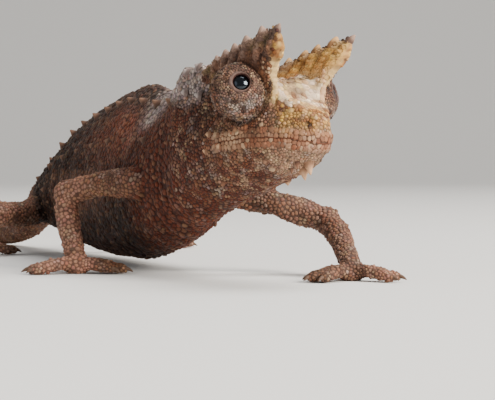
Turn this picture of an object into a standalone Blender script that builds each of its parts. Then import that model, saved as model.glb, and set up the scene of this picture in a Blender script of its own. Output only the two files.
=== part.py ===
# A leaf chameleon, Brookesia superciliaris, standing on a floor with its head turned to its left.
# Life size. +Z is up, the animal faces -Y, and its left side is at +X.
# Every size and place below is in millimetres. They become metres as the meshes are made.

import math

import bmesh
import bpy
import numpy as np
from mathutils import Matrix, Vector

MM = 0.001
GAP = 0.3
WELD = 0.002

# Places are measured from the floor under the shoulders, and then moved so that the origin
# lies under the middle of the whole animal.
STAND_SHIFT = (0.6, -19.45, 0.0)

# The head has its own axes: forward, left and up from the point midway between the eyes.
HEAD_PLACE = (2.4, -11.0, 11.95)
HEAD_YAW, HEAD_PITCH, HEAD_ROLL = 20.0, -5.0, 4.0

# Sections of the head, rear to snout. Each row is the distance forward, the height of the
# middle of the crown, then (out, up) of the brow ridge, temple, cheek, lip and jaw, then the
# height of the throat.
HEAD_SECTIONS = np.array([
    (-7.3, 2.1, 1.5, 2.15, 2.2, 0.3, 2.65, -2.0, 2.70, -3.60, 2.20, -6.00, -7.8),
    (-5.5, 1.9, 1.8, 2.30, 2.3, 0.1, 2.90, -2.1, 3.00, -3.40, 2.40, -5.60, -7.2),
    (-3.5, 1.6, 2.0, 2.20, 2.2, 0.0, 3.00, -2.2, 3.10, -3.20, 2.40, -5.20, -6.6),
    (-1.5, 1.4, 2.15, 2.20, 2.0, 0.0, 2.90, -2.3, 3.00, -3.10, 2.30, -4.90, -6.0),
    (0.0, 1.2, 2.2, 2.20, 1.9, 0.0, 2.70, -2.2, 2.80, -3.05, 2.20, -4.70, -5.6),
    (1.2, 0.8, 2.2, 1.95, 1.9, -0.2, 2.45, -2.1, 2.55, -3.05, 1.95, -4.55, -5.3),
    (1.9, 0.15, 2.1, 1.25, 1.95, -0.4, 2.25, -2.1, 2.30, -3.10, 1.75, -4.50, -5.1),
    (2.4, -0.6, 1.9, -0.45, 1.9, -1.1, 2.00, -2.1, 2.10, -3.10, 1.60, -4.25, -4.75),
    (3.2, -1.0, 1.45, -1.05, 1.5, -1.6, 1.62, -2.3, 1.70, -3.15, 1.25, -4.05, -4.5),
    (4.0, -1.4, 0.95, -1.60, 1.05, -2.0, 1.14, -2.5, 1.18, -3.20, 0.85, -3.85, -4.15),
    (4.5, -1.9, 0.5, -2.05, 0.62, -2.4, 0.68, -2.7, 0.66, -3.20, 0.48, -3.65, -3.85),
    (4.75, -2.4, 0.25, -2.50, 0.34, -2.7, 0.38, -2.9, 0.36, -3.20, 0.26, -3.48, -3.6),
])

# The head is drawn with a dozen sections behind its brow, and as many closer ones before it.
HEAD_REAR, HEAD_BROW, HEAD_NOSE = -7.3, 1.2, 4.75
HEAD_RINGS = 24

# The mouth, seen from the side as (forward, up), from the snout to its corner and down to
# the throat behind the lower jaw.
MOUTH_LINE = ((6.0, -3.3), (4.9, -3.2), (3.0, -3.1), (0.5, -3.0), (-1.6, -3.05), (-2.8, -3.4),
              (-3.2, -9.0))
LIP_RADIUS, LIP_RISE, LIP_INSET = 0.25, 0.28, 0.13
LIP_STEPS = (-2.4, -1.0, 0.5, 2.0, 3.2, 4.0, 4.35)
LIP_NOSE = (4.52, 0.0, -3.2)

# Sections of the trunk: distance back from the shoulders, how far the middle lies to the
# left, then top, bottom and half width. The rear bends a little to the animal's right.
TRUNK_SECTIONS = np.array([
    (-6.0, 0.0, 12.3, 4.9, 2.5),
    (-1.8, 0.0, 12.2, 2.9, 2.8),
    (0.0, 0.0, 12.15, 2.2, 2.9),
    (3.5, 0.0, 12.35, 1.4, 3.15),
    (7.0, 0.0, 12.75, 0.8, 3.3),
    (11.0, 0.0, 12.35, 0.55, 3.45),
    (15.0, -0.1, 11.9, 0.50, 3.5),
    (19.0, -0.35, 11.3, 0.75, 3.4),
    (24.0, -0.75, 10.05, 1.4, 3.1),
    (28.0, -1.15, 8.3, 2.0, 2.7),
    (31.0, -1.45, 6.75, 2.6, 2.0),
])
TRUNK_START, TRUNK_END = -1.8, 31.0
TRUNK_RINGS, NECK_RINGS = 18, 4
# Corners of half a trunk section from ridge to belly, as shares of half width and height.
TRUNK_SHAPE = ((0.0, 0.0), (0.40, 0.09), (0.86, 0.32), (1.0, 0.54), (0.94, 0.70), (0.66, 0.90),
               (0.0, 1.0))
RING_STEPS = 2
# How far the nape stands above a straight run from the casque to the shoulders.
NAPE_RISE = 0.75

# The brow crest, a thin plate on each side that ends in a horn over the eye.
CREST_FRONT, CREST_REAR, HORN_TIP = (2.3, 2.1, 0.9), (-3.8, 2.3, 1.85), (3.8, 3.05, 3.4)
CREST_SINK = 0.9
CREST_THICK, CREST_EDGE_THICK = 0.85, 0.5
CREST_TEETH, CREST_TOOTH_HEIGHT, CREST_RIB = 7, 0.34, 0.10
HORN_ROOT_SHARE = 0.52

# The eye: a cone of skin that swells out of the socket, with the ball showing through a
# small round opening.
TURRET_PLACE, TURRET_RADIUS = (0.0, 2.92, -0.1), 1.80
TURRET_BASE_OUT = 1.75
GAZE = (0.79, 0.57, 0.22)
BALL_RADIUS, BALL_OUT = 0.80, 0.83
LID_RADIUS, LID_THICK = 0.68, 0.22
OPENING_RADIUS = 0.56

# A raised strip of skin in front of each eye, below the horn.
BROW_STRIP = ((2.3, 2.1, -0.25, 0.30), (2.28, 2.08, -0.7, 0.32), (2.1, 2.0, -1.3, 0.24))

NOSTRIL_PLACE, NOSTRIL_RADIUS = (4.2, 0.92, -2.35), 0.2

# Spines of the head as (forward, out, up, radius, length): under the chin, pointing down, and
# on the casque and behind the mouth, pointing outwards.
CHIN_SPINES = ((2.75, 0.55, -4.4, 0.36, 0.60), (1.9, 1.0, -4.65, 0.34, 0.60),
               (0.8, 0.5, -5.2, 0.30, 0.35), (-0.4, 1.3, -5.4, 0.32, 0.40),
               (-1.8, 0.7, -5.8, 0.30, 0.35))
SIDE_SPINES = ((-6.8, 1.75, 2.05, 0.42, 0.50), (-5.3, 2.0, 2.2, 0.38, 0.45),
               (-6.3, 2.3, 0.6, 0.36, 0.45), (-4.6, 2.5, 0.2, 0.34, 0.40),
               (-2.9, 3.05, -2.5, 0.42, 0.50), (-3.3, 3.0, -3.5, 0.36, 0.40),
               (-4.6, 3.0, -2.9, 0.34, 0.35))

# Limbs as (across, back, up, radius): down to the elbow or knee, then on to the wrist or
# ankle. The joint between them is a knob.
LEFT_ARM = (
    ((1.2, -0.4, 6.2, 1.25), (2.6, -0.9, 5.9, 1.15), (5.6, -2.2, 4.9, 0.88),
     (8.9, -3.6, 3.7, 0.80)),
    ((8.9, -3.6, 3.7, 0.76), (8.9, -5.4, 3.0, 0.82), (8.6, -7.6, 1.9, 0.72),
     (8.3, -9.1, 1.15, 0.66)),
)
RIGHT_ARM = (
    ((-1.2, 0.2, 6.2, 1.25), (-2.7, 1.0, 6.2, 1.15), (-4.8, 4.0, 6.1, 0.84),
     (-6.6, 6.6, 5.4, 0.80)),
    ((-6.6, 6.6, 5.4, 0.76), (-6.8, 5.8, 3.9, 0.82), (-6.8, 4.5, 2.3, 0.70),
     (-6.8, 3.5, 1.15, 0.66)),
)
LEFT_LEG = (
    ((0.2, 28.3, 4.4, 1.35), (1.6, 27.9, 4.3, 1.25), (4.6, 26.8, 4.3, 0.98),
     (7.4, 26.0, 4.1, 0.84)),
    ((7.4, 26.0, 4.1, 0.80), (7.6, 28.0, 3.2, 0.84), (7.6, 29.9, 2.1, 0.72),
     (7.5, 31.4, 1.2, 0.66)),
)
RIGHT_LEG = (
    ((-1.5, 28.2, 4.4, 1.35), (-3.0, 27.7, 4.0, 1.25), (-5.4, 26.1, 3.3, 1.02),
     (-7.8, 24.6, 3.5, 0.84)),
    ((-7.8, 24.6, 3.5, 0.80), (-8.3, 26.2, 2.8, 0.84), (-8.5, 27.7, 1.9, 0.72),
     (-8.5, 28.9, 1.2, 0.66)),
)
LIMB_STUB, LIMB_SPLIT = 0.40, 0.77
KNOB_RADIUS = 1.0

# Each foot: the limb it ends, the headings of its inner and outer bundle of toes in degrees
# from straight ahead towards the animal's left, and how many toes each bundle has.
FEET = {
    "hand_left": (LEFT_ARM, (-72, 3), (36, 2)),
    "hand_right": (RIGHT_ARM, (58, 3), (-84, 2)),
    "foot_left": (LEFT_LEG, (-48, 2), (92, 3)),
    "foot_right": (RIGHT_LEG, (52, 2), (-96, 3)),
}
TOE_LENGTH, TOE_RADIUS, TOE_SPREAD = 3.3, 0.42, 15.0
CLAW_LENGTH, CLAW_RADIUS = 0.75, 0.2
PALM_RADIUS = 0.84
SOLE_SINK = 0.07

# The tail, laid on the floor in a bend to the animal's right, as (across, back, up, radius).
TAIL = ((-1.45, 31.0, 4.6, 1.85), (-1.6, 32.2, 4.5, 1.70), (-1.9, 34.7, 3.35, 1.40),
        (-2.4, 38.0, 1.85, 1.12), (-3.3, 42.0, 0.98, 0.90), (-4.8, 46.0, 0.70, 0.74),
        (-7.0, 49.6, 0.54, 0.58), (-9.8, 52.6, 0.42, 0.46), (-13.1, 54.8, 0.32, 0.34))
TAIL_SPLITS = (0.0, 0.34, 0.67, 1.0)

# Small pointed scales: along the back in pairs, in rows on the flanks, and on the limbs.
# Each row of them is the corner of the section it stands on, the first place and the spacing,
# then the foot's radius and how far it stands out.
BACK_SPINE = (1, -0.6, 2.9, 0.38, 0.55)
FLANK_SPINES = ((2, 1.2, 3.9, 0.34, 0.32), (3, 6.2, 4.7, 0.34, 0.28))
LAST_SPINE = 29.0
SPINE_LEAN = (0.0, 0.15, 0.0)
SPINE_SINK = 0.4

SKIN_BROWN = (0.30, 0.15, 0.09, 1.0)
FACE_TAN = (0.45, 0.28, 0.18, 1.0)
HORN_OCHRE = (0.55, 0.34, 0.12, 1.0)
LIMB_GREY = (0.38, 0.25, 0.20, 1.0)
EYE_BLACK = (0.01, 0.01, 0.015, 1.0)


def clear_scene():
    for obj in list(bpy.data.objects):
        bpy.data.objects.remove(obj)
    parts = bpy.data.collections.new("leaf_chameleon")
    bpy.context.scene.collection.children.link(parts)


def make_material(name, colour, roughness):
    material = bpy.data.materials.new(name)
    material.use_nodes = True
    shader = material.node_tree.nodes["Principled BSDF"]
    shader.inputs["Base Color"].default_value = colour
    shader.inputs["Roughness"].default_value = roughness
    shader.inputs["Metallic"].default_value = 0.0
    return material


def along(table, where):
    """The table's row at each of the given distances, on a smooth curve through its rows."""
    keys, values = table[:, 0], table[:, 1:]
    slopes = np.gradient(values, keys, axis=0)
    where = np.atleast_1d(np.asarray(where, float))
    index = np.clip(np.searchsorted(keys, where) - 1, 0, len(keys) - 2)
    width = (keys[index + 1] - keys[index])[:, None]
    t = (where[:, None] - keys[index][:, None]) / width
    return (
        values[index] * (2 * t**3 - 3 * t**2 + 1)
        + slopes[index] * width * (t**3 - 2 * t**2 + t)
        + values[index + 1] * (3 * t**2 - 2 * t**3)
        + slopes[index + 1] * width * (t**3 - t**2)
    )


def closed_curve(corners, steps):
    """A closed smooth curve through the corners, with the given steps to each span."""
    before, after, beyond = (np.roll(corners, n, axis=0) for n in (1, -1, -2))
    t = (np.arange(steps) / steps)[None, :, None]
    a, b, c, d = (x[:, None, :] for x in (before, corners, after, beyond))
    curve = 0.5 * (
        2 * b + (c - a) * t + (2 * a - 5 * b + 4 * c - d) * t**2
        + (3 * b - a - 3 * c + d) * t**3
    )
    return curve.reshape(-1, corners.shape[1])


def ring_of(half):
    """A closed section from its left half, given as (out, up) corners from crown to throat."""
    half = np.asarray(half, float)
    other = half[-2:0:-1] * (-1, 1)
    return closed_curve(np.vstack([half, other]), RING_STEPS)


def head_matrix():
    turn = (
        Matrix.Rotation(math.radians(HEAD_YAW), 4, "Z")
        @ Matrix.Rotation(math.radians(HEAD_PITCH), 4, "X")
        @ Matrix.Rotation(math.radians(HEAD_ROLL), 4, "Y")
    )
    return Matrix.Translation(HEAD_PLACE) @ turn


def head_to_body(points):
    """(forward, left, up) of the head as (across, back, up) of the body."""
    points = np.atleast_2d(np.asarray(points, float))
    place = np.array(head_matrix())
    local = np.column_stack([points[:, 1], -points[:, 0], points[:, 2]])
    return local @ place[:3, :3].T + place[:3, 3]


def head_ring(forward):
    row = along(HEAD_SECTIONS, forward)[0]
    half = [(0.0, row[0]), *row[1:11].reshape(5, 2), (0.0, row[11])]
    flat = ring_of(half)
    return head_to_body(np.column_stack([np.full(len(flat), forward), flat]))


def trunk_corner(back, corner, side):
    """A corner of the trunk's section, and the way straight out of the skin there."""
    middle, top, bottom, width = along(TRUNK_SECTIONS, back)[0]
    places = [
        np.array((middle + side * share * width, top - drop * (top - bottom)))
        for share, drop in TRUNK_SHAPE
    ]
    line = places[corner + 1] - places[corner - 1]
    out = np.array((-line[1], line[0])) * side
    out /= np.linalg.norm(out)
    place = places[corner]
    return np.array((place[0], back, place[1])), np.array((out[0], 0.0, out[1]))


def trunk_ring(back):
    middle, top, bottom, width = along(TRUNK_SECTIONS, back)[0]
    half = [(share * width, top - drop * (top - bottom)) for share, drop in TRUNK_SHAPE]
    flat = ring_of(half)
    return np.column_stack([flat[:, 0] + middle, np.full(len(flat), back), flat[:, 1]])


def new_object(name, mesh):
    obj = bpy.data.objects.new(name, mesh)
    bpy.data.collections["leaf_chameleon"].objects.link(obj)
    return obj


def tidy(bm):
    """Welds points that lie almost on each other and turns every face outwards."""
    bmesh.ops.remove_doubles(bm, verts=bm.verts, dist=WELD * MM)
    bmesh.ops.dissolve_degenerate(bm, edges=bm.edges, dist=WELD * MM)
    loose = [edge for edge in bm.edges if not edge.link_faces]
    bmesh.ops.delete(bm, geom=loose, context="EDGES")
    bmesh.ops.recalc_face_normals(bm, faces=bm.faces)


def object_from(name, bm):
    tidy(bm)
    mesh = bpy.data.meshes.new(name)
    bm.to_mesh(mesh)
    bm.free()
    return new_object(name, mesh)


def loft(name, rings):
    """A closed solid through unlike sections of the same count of points."""
    bm = bmesh.new()
    loops = [[bm.verts.new(Vector(p) * MM) for p in ring] for ring in rings]
    count = len(loops[0])
    for first, second in zip(loops, loops[1:]):
        for i in range(count):
            j = (i + 1) % count
            bm.faces.new((first[i], first[j], second[j], second[i]))
    bm.faces.new(loops[0])
    bm.faces.new(list(reversed(loops[-1])))
    return object_from(name, bm)


def prism(name, outline, out):
    """A plate across the head: a closed (forward, up) outline carried from -out to +out."""
    rings = [[head_to_body((f, side, u))[0] for f, u in outline] for side in (-out, out)]
    return loft(name, rings)


def smooth_path(points, steps):
    """A dense smooth line through rows of coordinates, spaced by length."""
    points = np.asarray(points, float)
    lengths = np.linalg.norm(np.diff(points[:, :3], axis=0), axis=1)
    keys = np.concatenate([[0], np.cumsum(lengths)])
    table = np.column_stack([keys / keys[-1], points])
    return along(table, np.linspace(0, 1, steps))


def path_length(path):
    return np.linalg.norm(np.diff(path[:, :3], axis=0), axis=1).sum()


def part_of_path(points, start, end, steps):
    """The stretch of a limb between two shares of its length, as rows of place and radius."""
    dense = smooth_path(points, 200)
    shares = np.linspace(0, 1, len(dense))
    wanted = np.linspace(start, end, steps)
    return np.column_stack([np.interp(wanted, shares, dense[:, i]) for i in range(4)])


def tube(name, path, sides=2, tip_scale=1.0):
    """A round bar along rows of (across, back, up, radius), made as a bevelled curve."""
    curve = bpy.data.curves.new(name, "CURVE")
    curve.dimensions = "3D"
    curve.bevel_depth = MM
    curve.bevel_resolution = sides
    curve.use_fill_caps = True
    spline = curve.splines.new("POLY")
    spline.points.add(len(path) - 1)
    for point, (x, y, z, radius) in zip(spline.points, path):
        point.co = (x * MM, y * MM, z * MM, 1.0)
        point.radius = radius
    spline.points[-1].radius *= tip_scale
    guide = new_object(name + "_line", curve)
    graph = bpy.context.evaluated_depsgraph_get()
    mesh = bpy.data.meshes.new_from_object(guide.evaluated_get(graph))
    bpy.data.objects.remove(guide)
    bm = bmesh.new()
    bm.from_mesh(mesh)
    bpy.data.meshes.remove(mesh)
    return object_from(name, bm)


def ball(name, centre, radius, around=16, rings=10):
    bm = bmesh.new()
    bmesh.ops.create_uvsphere(bm, u_segments=around, v_segments=rings, radius=radius * MM)
    bmesh.ops.translate(bm, vec=Vector(centre) * MM, verts=bm.verts)
    return object_from(name, bm)


def cone(name, foot, tip, radius, sides=5, tip_radius=0.04):
    """A tapered spine from its foot to its tip."""
    foot, tip = Vector(foot), Vector(tip)
    line = tip - foot
    bm = bmesh.new()
    bmesh.ops.create_cone(
        bm, cap_ends=True, segments=sides, depth=line.length * MM,
        radius1=radius * MM, radius2=tip_radius * MM,
    )
    turn = line.to_track_quat("Z", "Y").to_matrix().to_4x4()
    bm.transform(Matrix.Translation((foot + tip) / 2 * MM) @ turn)
    return object_from(name, bm)


def combine(base, others, operation, solver="EXACT"):
    """Joins the others to the base, or cuts them from it, and removes them."""
    group = bpy.data.collections.new("group")
    bpy.context.scene.collection.children.link(group)
    for other in others:
        group.objects.link(other)
    modifier = base.modifiers.new("combine", "BOOLEAN")
    modifier.operation = operation
    modifier.operand_type = "COLLECTION"
    modifier.collection = group
    modifier.solver = solver
    graph = bpy.context.evaluated_depsgraph_get()
    mesh = bpy.data.meshes.new_from_object(base.evaluated_get(graph))
    base.modifiers.clear()
    base.data = mesh
    for other in others:
        bpy.data.objects.remove(other)
    bpy.data.collections.remove(group)
    return base


def split_bodies(obj):
    """The closed surfaces of an object, largest first, each as a set of vertex numbers."""
    bm = bmesh.new()
    bm.from_mesh(obj.data)
    seen, bodies = set(), []
    for start in bm.verts:
        if start.index in seen:
            continue
        body, front = set(), [start]
        while front:
            vert = front.pop()
            if vert.index in body:
                continue
            body.add(vert.index)
            front.extend(edge.other_vert(vert) for edge in vert.link_edges)
        seen |= body
        bodies.append(body)
    bm.free()
    return sorted(bodies, key=lambda body: -body_size(obj, body))


def body_size(obj, body):
    places = np.array([obj.data.vertices[i].co for i in body])
    return float(np.prod(places.max(axis=0) - places.min(axis=0)))


def keep_body(obj, body):
    bm = bmesh.new()
    bm.from_mesh(obj.data)
    bmesh.ops.delete(bm, geom=[v for v in bm.verts if v.index not in body], context="VERTS")
    bm.to_mesh(obj.data)
    bm.free()
    return obj


def keep_side(obj, place, normal):
    """Cuts an object flat at a plane and keeps what lies on the side the normal points to."""
    bm = bmesh.new()
    bm.from_mesh(obj.data)
    geometry = bm.verts[:] + bm.edges[:] + bm.faces[:]
    bmesh.ops.bisect_plane(
        bm, geom=geometry, plane_co=Vector(place) * MM, plane_no=Vector(normal),
        clear_inner=True, dist=1e-7,
    )
    open_edges = [edge for edge in bm.edges if edge.is_boundary]
    bmesh.ops.holes_fill(bm, edges=open_edges, sides=0)
    tidy(bm)
    bm.to_mesh(obj.data)
    bm.free()
    return obj


def copy_of(obj, name):
    return new_object(name, obj.data.copy())


def finish_node(obj, name, material, shade=35):
    """Names a node, keeps its largest closed surface and gives it a finish."""
    keep_body(obj, split_bodies(obj)[0])
    obj.name = name
    obj.data.name = name
    obj.data.materials.clear()
    obj.data.materials.append(material)
    obj.data.shade_smooth()
    obj.data.set_sharp_from_angle(angle=math.radians(shade))
    obj.location = Vector(STAND_SHIFT) * MM
    return obj


def mirrored(point, side):
    """A left-hand point of the head, on the left for side 1 and on the right for side -1."""
    return (point[0], point[1] * side, point[2])


def turret_clearance(side, radius):
    centre = head_to_body(mirrored(TURRET_PLACE, side))[0]
    sphere = ball("clearance", centre, radius, 20, 12)
    base = head_to_body(mirrored((0.0, TURRET_BASE_OUT - GAP, 0.0), side))[0]
    outwards = head_to_body(mirrored((0.0, 1.0, 0.0), side))[0] - head_to_body((0, 0, 0))[0]
    return keep_side(sphere, base, outwards)


def crest_point(side, share, rise):
    """A point of the crest's mid surface: share from rear to front, rise from foot to edge."""
    front, rear, tip = (np.array(p) for p in (CREST_FRONT, CREST_REAR, HORN_TIP))
    foot = rear + (front - rear) * share
    edge = rear + (tip - rear) * share
    tooth = CREST_TOOTH_HEIGHT * abs(math.sin(math.pi * CREST_TEETH * share))
    tooth *= 1 - 0.8 * share**8  # the teeth fade out at the horn's tip
    lean = (edge - foot) / max(np.linalg.norm(edge - foot), 1e-6)
    drop = np.array((0.0, 0.0, -CREST_SINK))
    place = foot + drop + (edge + lean * tooth - foot - drop) * rise
    return mirrored(place, side)


def crest_plate(side):
    """The whole brow crest of one side: a thin plate, toothed along its edge, with a rib
    behind each tooth."""
    shares = np.linspace(0.0, 1.0, 4 * CREST_TEETH + 1)
    rises = (0.0, 0.55, 1.0)
    rings = []
    for share in shares:
        inner, outer = [], []
        rib = CREST_RIB * abs(math.sin(math.pi * CREST_TEETH * share))
        for rise in rises:
            half = 0.5 * (CREST_THICK + (CREST_EDGE_THICK - CREST_THICK) * rise) + rib * rise
            f, out, up = crest_point(side, share, rise)
            outer.append(head_to_body((f, out + half * side, up))[0])
            inner.append(head_to_body((f, out - half * side, up))[0])
        rings.append(outer + inner[::-1])
    return loft("crest", rings)


def horn_plane():
    """A point and direction of the cut that parts the horns from the crests, on the left."""
    front, rear, tip = (np.array(p) for p in (CREST_FRONT, CREST_REAR, HORN_TIP))
    root = np.array(crest_point(1, HORN_ROOT_SHARE, 0.8))
    middle = (root + front) / 2
    return middle, tip - middle


def horn_and_stump(side):
    middle, axis = horn_plane()
    place = head_to_body(mirrored(middle, side))[0]
    direction = head_to_body(mirrored(middle + axis, side))[0] - place
    direction /= np.linalg.norm(direction)
    horn = crest_plate(side)
    stump = copy_of(horn, "stump")
    keep_side(horn, place + direction * GAP / 2, direction)
    keep_side(stump, place - direction * GAP / 2, -direction)
    return horn, stump


def lip_tube(name, rise):
    """A round lip that runs along the mouth from corner to corner, above or below it."""
    rows = []
    for side in (-1, 1):
        line = []
        for forward in LIP_STEPS:
            row = along(HEAD_SECTIONS, forward)[0]
            place = (forward, side * (row[7] - LIP_INSET), row[8] + rise)
            line.append((*head_to_body(place)[0], LIP_RADIUS))
        rows.extend(line if side < 0 else line[::-1])
    nose = head_to_body((LIP_NOSE[0], LIP_NOSE[1], LIP_NOSE[2] + rise))[0]
    rows.insert(len(LIP_STEPS), (*nose, LIP_RADIUS))
    return tube(name, np.array(rows), sides=1)


def brow_strip(side):
    rows = [
        (*head_to_body(mirrored(row[:3], side))[0], row[3]) for row in BROW_STRIP
    ]
    return tube("brow_strip", np.array(rows), sides=1)


def mouth_cutter():
    """A thin slab along the mouth that parts the lower jaw from the head."""
    line = np.array(MOUTH_LINE)
    slope = np.gradient(line, axis=0)
    slope /= np.linalg.norm(slope, axis=1)[:, None]
    off = np.column_stack([-slope[:, 1], slope[:, 0]]) * GAP / 2
    outline = np.vstack([line + off, (line - off)[::-1]])
    return prism("mouth_cutter", outline, 5.0)


def head_spine(place, pointing, radius, length):
    """A spine of the head, from inside the skin to its tip, both in the head's own axes."""
    place, pointing = np.array(place), np.array(pointing)
    pointing = pointing / np.linalg.norm(pointing)
    foot = head_to_body(place - pointing * SPINE_SINK)[0]
    return cone("spine", foot, head_to_body(place + pointing * length)[0], radius)


def head_spines():
    """Spines under the chin, and on the corners of the casque and the jaw."""
    spines = []
    for side in (-1, 1):
        for f, out, up, radius, length in CHIN_SPINES:
            pointing = (0.25, 0.35 * side, -1.0)
            spines.append(head_spine((f, out * side, up), pointing, radius, length))
        for f, out, up, radius, length in SIDE_SPINES:
            pointing = (-0.6, side, 0.7 if up > 1.0 else 0.1)
            spines.append(head_spine((f, out * side, up), pointing, radius, length))
    return spines


def build_head(finishes):
    forwards = np.concatenate([
        np.linspace(HEAD_REAR, HEAD_BROW, HEAD_RINGS // 2),
        np.linspace(HEAD_BROW + 0.4, HEAD_NOSE, HEAD_RINGS // 2),
    ])
    head = loft("head", [head_ring(f) for f in forwards])
    joined = [lip_tube("upper_lip", LIP_RISE), lip_tube("lower_lip", -LIP_RISE)]
    horns = {}
    for side, word in ((1, "left"), (-1, "right")):
        horns[word], stump = horn_and_stump(side)
        joined.extend([stump, brow_strip(side)])
    joined.extend(head_spines())
    combine(head, joined, "UNION", "MANIFOLD")
    cutters = [mouth_cutter()]
    for side in (1, -1):
        cutters.append(turret_clearance(side, TURRET_RADIUS + GAP))
        place = head_to_body(mirrored(NOSTRIL_PLACE, side))[0]
        cutters.append(ball("nostril", place, NOSTRIL_RADIUS, 8, 6))
    combine(head, cutters, "DIFFERENCE", "MANIFOLD")
    bodies = split_bodies(head)
    jaw = copy_of(head, "lower_jaw")
    keep_body(jaw, bodies[1])
    finish_node(jaw, "lower_jaw", finishes["face"])
    finish_node(head, "head", finishes["face"])
    for word, horn in horns.items():
        side = 1 if word == "left" else -1
        combine(horn, [turret_clearance(side, TURRET_RADIUS + GAP)], "DIFFERENCE")
        finish_node(horn, f"horn_{word}", finishes["horn"])


def build_eye(side, word, finishes):
    centre = head_to_body(mirrored(TURRET_PLACE, side))[0]
    gaze = head_to_body(mirrored(GAZE, side))[0] - head_to_body((0, 0, 0))[0]
    gaze /= np.linalg.norm(gaze)
    turret = ball("turret", centre, TURRET_RADIUS, 20, 12)
    lid_out = math.sqrt(TURRET_RADIUS**2 - LID_RADIUS**2)
    bm = bmesh.new()
    bmesh.ops.create_cone(
        bm, cap_ends=True, segments=14, depth=2 * LID_THICK * MM,
        radius1=(LID_RADIUS + 0.25) * MM, radius2=(LID_RADIUS + 0.02) * MM,
    )
    turn = Vector(gaze).to_track_quat("Z", "Y").to_matrix().to_4x4()
    bm.transform(Matrix.Translation(Vector(centre + gaze * lid_out) * MM) @ turn)
    lid = object_from("lid", bm)
    combine(turret, [lid], "UNION")
    ball_place = centre + gaze * BALL_OUT
    cavity = ball("cavity", ball_place, BALL_RADIUS + GAP * 0.8, 14, 8)
    way = cone("way", ball_place, centre + gaze * 3.0, OPENING_RADIUS, 14, OPENING_RADIUS)
    combine(turret, [cavity, way], "DIFFERENCE")
    base = head_to_body(mirrored((0.0, TURRET_BASE_OUT, 0.0), side))[0]
    outwards = head_to_body(mirrored((0.0, 1.0, 0.0), side))[0] - head_to_body((0, 0, 0))[0]
    keep_side(turret, base, outwards)
    finish_node(turret, f"eye_turret_{word}", finishes["face"])
    eye = ball("eyeball", ball_place, BALL_RADIUS, 16, 10)
    finish_node(eye, f"eyeball_{word}", finishes["eye"])


def build_neck(finishes):
    first, last = head_ring(HEAD_REAR), trunk_ring(TRUNK_START)
    width = np.linalg.norm(last - first, axis=1).mean()
    rings = []
    for share in np.linspace(GAP / width, 1 - GAP / width, NECK_RINGS):
        ring = first + (last - first) * share
        height = (ring[:, 2] - ring[:, 2].min()) / np.ptp(ring[:, 2])
        ring[:, 2] += NAPE_RISE * math.sin(math.pi * share**0.8) * height**4
        rings.append(ring)
    finish_node(loft("neck", rings), "neck", finishes["skin"])


def trunk_spines():
    """Small pointed scales along the back and the flanks, set square on the skin."""
    spines = []
    for corner, start, spacing, radius, length in (BACK_SPINE, *FLANK_SPINES):
        for back in np.arange(start, LAST_SPINE, spacing):
            for side in (-1, 1):
                place, out = trunk_corner(back, corner, side)
                foot = place - out * SPINE_SINK
                tip = place + out * length + np.array(SPINE_LEAN)
                spines.append(cone("spine", foot, tip, radius))
    return spines


def build_trunk(finishes):
    backs = np.linspace(TRUNK_START, TRUNK_END - GAP, TRUNK_RINGS)
    trunk = loft("torso", [trunk_ring(back) for back in backs])
    joined = trunk_spines()
    for limb in (LEFT_ARM, RIGHT_ARM, LEFT_LEG, RIGHT_LEG):
        joined.append(tube("stump", part_of_path(limb[0], 0.0, LIMB_STUB, 5)))
    combine(trunk, joined, "UNION")
    finish_node(trunk, "torso", finishes["skin"])


def build_tail(finishes):
    length = path_length(smooth_path(TAIL, 200))
    gap = GAP / length
    names = ("tail_base", "tail_middle", "tail_tip")
    for name, start, end in zip(names, TAIL_SPLITS, TAIL_SPLITS[1:]):
        path = part_of_path(TAIL, start, end - (gap if end < 1 else 0), 9)
        piece = tube(name, path, sides=3, tip_scale=1.0 if end < 1 else 0.35)
        keep_side(piece, (0, 0, 0), (0, 0, 1))
        finish_node(piece, name, finishes["skin"])


def knob_spine(limb):
    """A pointed scale on the outside of the elbow or knee."""
    upper, lower = (np.array(rows)[:, :3] for rows in limb)
    knob = upper[-1]
    out = 2 * knob - upper[-2] - lower[1]
    out /= np.linalg.norm(out)
    return cone("spine", knob + out * 0.5, knob + out * (KNOB_RADIUS + 0.45), 0.4)


def build_limb(limb, names, finishes):
    upper, lower = limb
    gap = GAP / path_length(smooth_path(upper, 200))
    first = tube(names[0], part_of_path(upper, LIMB_STUB + gap, LIMB_SPLIT, 6))
    finish_node(first, names[0], finishes["limb"])
    gap = GAP / path_length(smooth_path(lower, 200))
    second = tube(names[1], part_of_path(lower, 0.0, 1.0 - gap, 7))
    bend = tube("bend", part_of_path(upper, LIMB_SPLIT + gap, 1.0, 4))
    knob = ball("knob", upper[-1][:3], KNOB_RADIUS, 12, 8)
    combine(second, [bend, knob, knob_spine(limb)], "UNION")
    finish_node(second, names[1], finishes["limb"])


def heading(degrees):
    turn = math.radians(degrees)
    return np.array((math.sin(turn), -math.cos(turn), 0.0))


def toe(start, direction, length):
    """One toe with its claw: rises a little over its knuckle and comes down at the claw."""
    shares = np.array((0.0, 0.3, 0.6, 0.85, 1.0))
    heights = np.array((0.62, 0.70, 0.55, 0.38, 0.34))
    radii = TOE_RADIUS * np.array((1.15, 1.0, 0.92, 0.88, 0.70))
    rows = []
    for share, height, radius in zip(shares, heights, radii):
        place = start + direction * length * share
        rows.append((place[0], place[1], height, radius))
    end = np.array(rows[-1][:3])
    tip = end + direction * CLAW_LENGTH
    tip[2] = 0.17
    claw = cone("claw", end - direction * 0.15, tip, CLAW_RADIUS, 5)
    return [tube("toe", np.array(rows), sides=1), claw]


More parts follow.
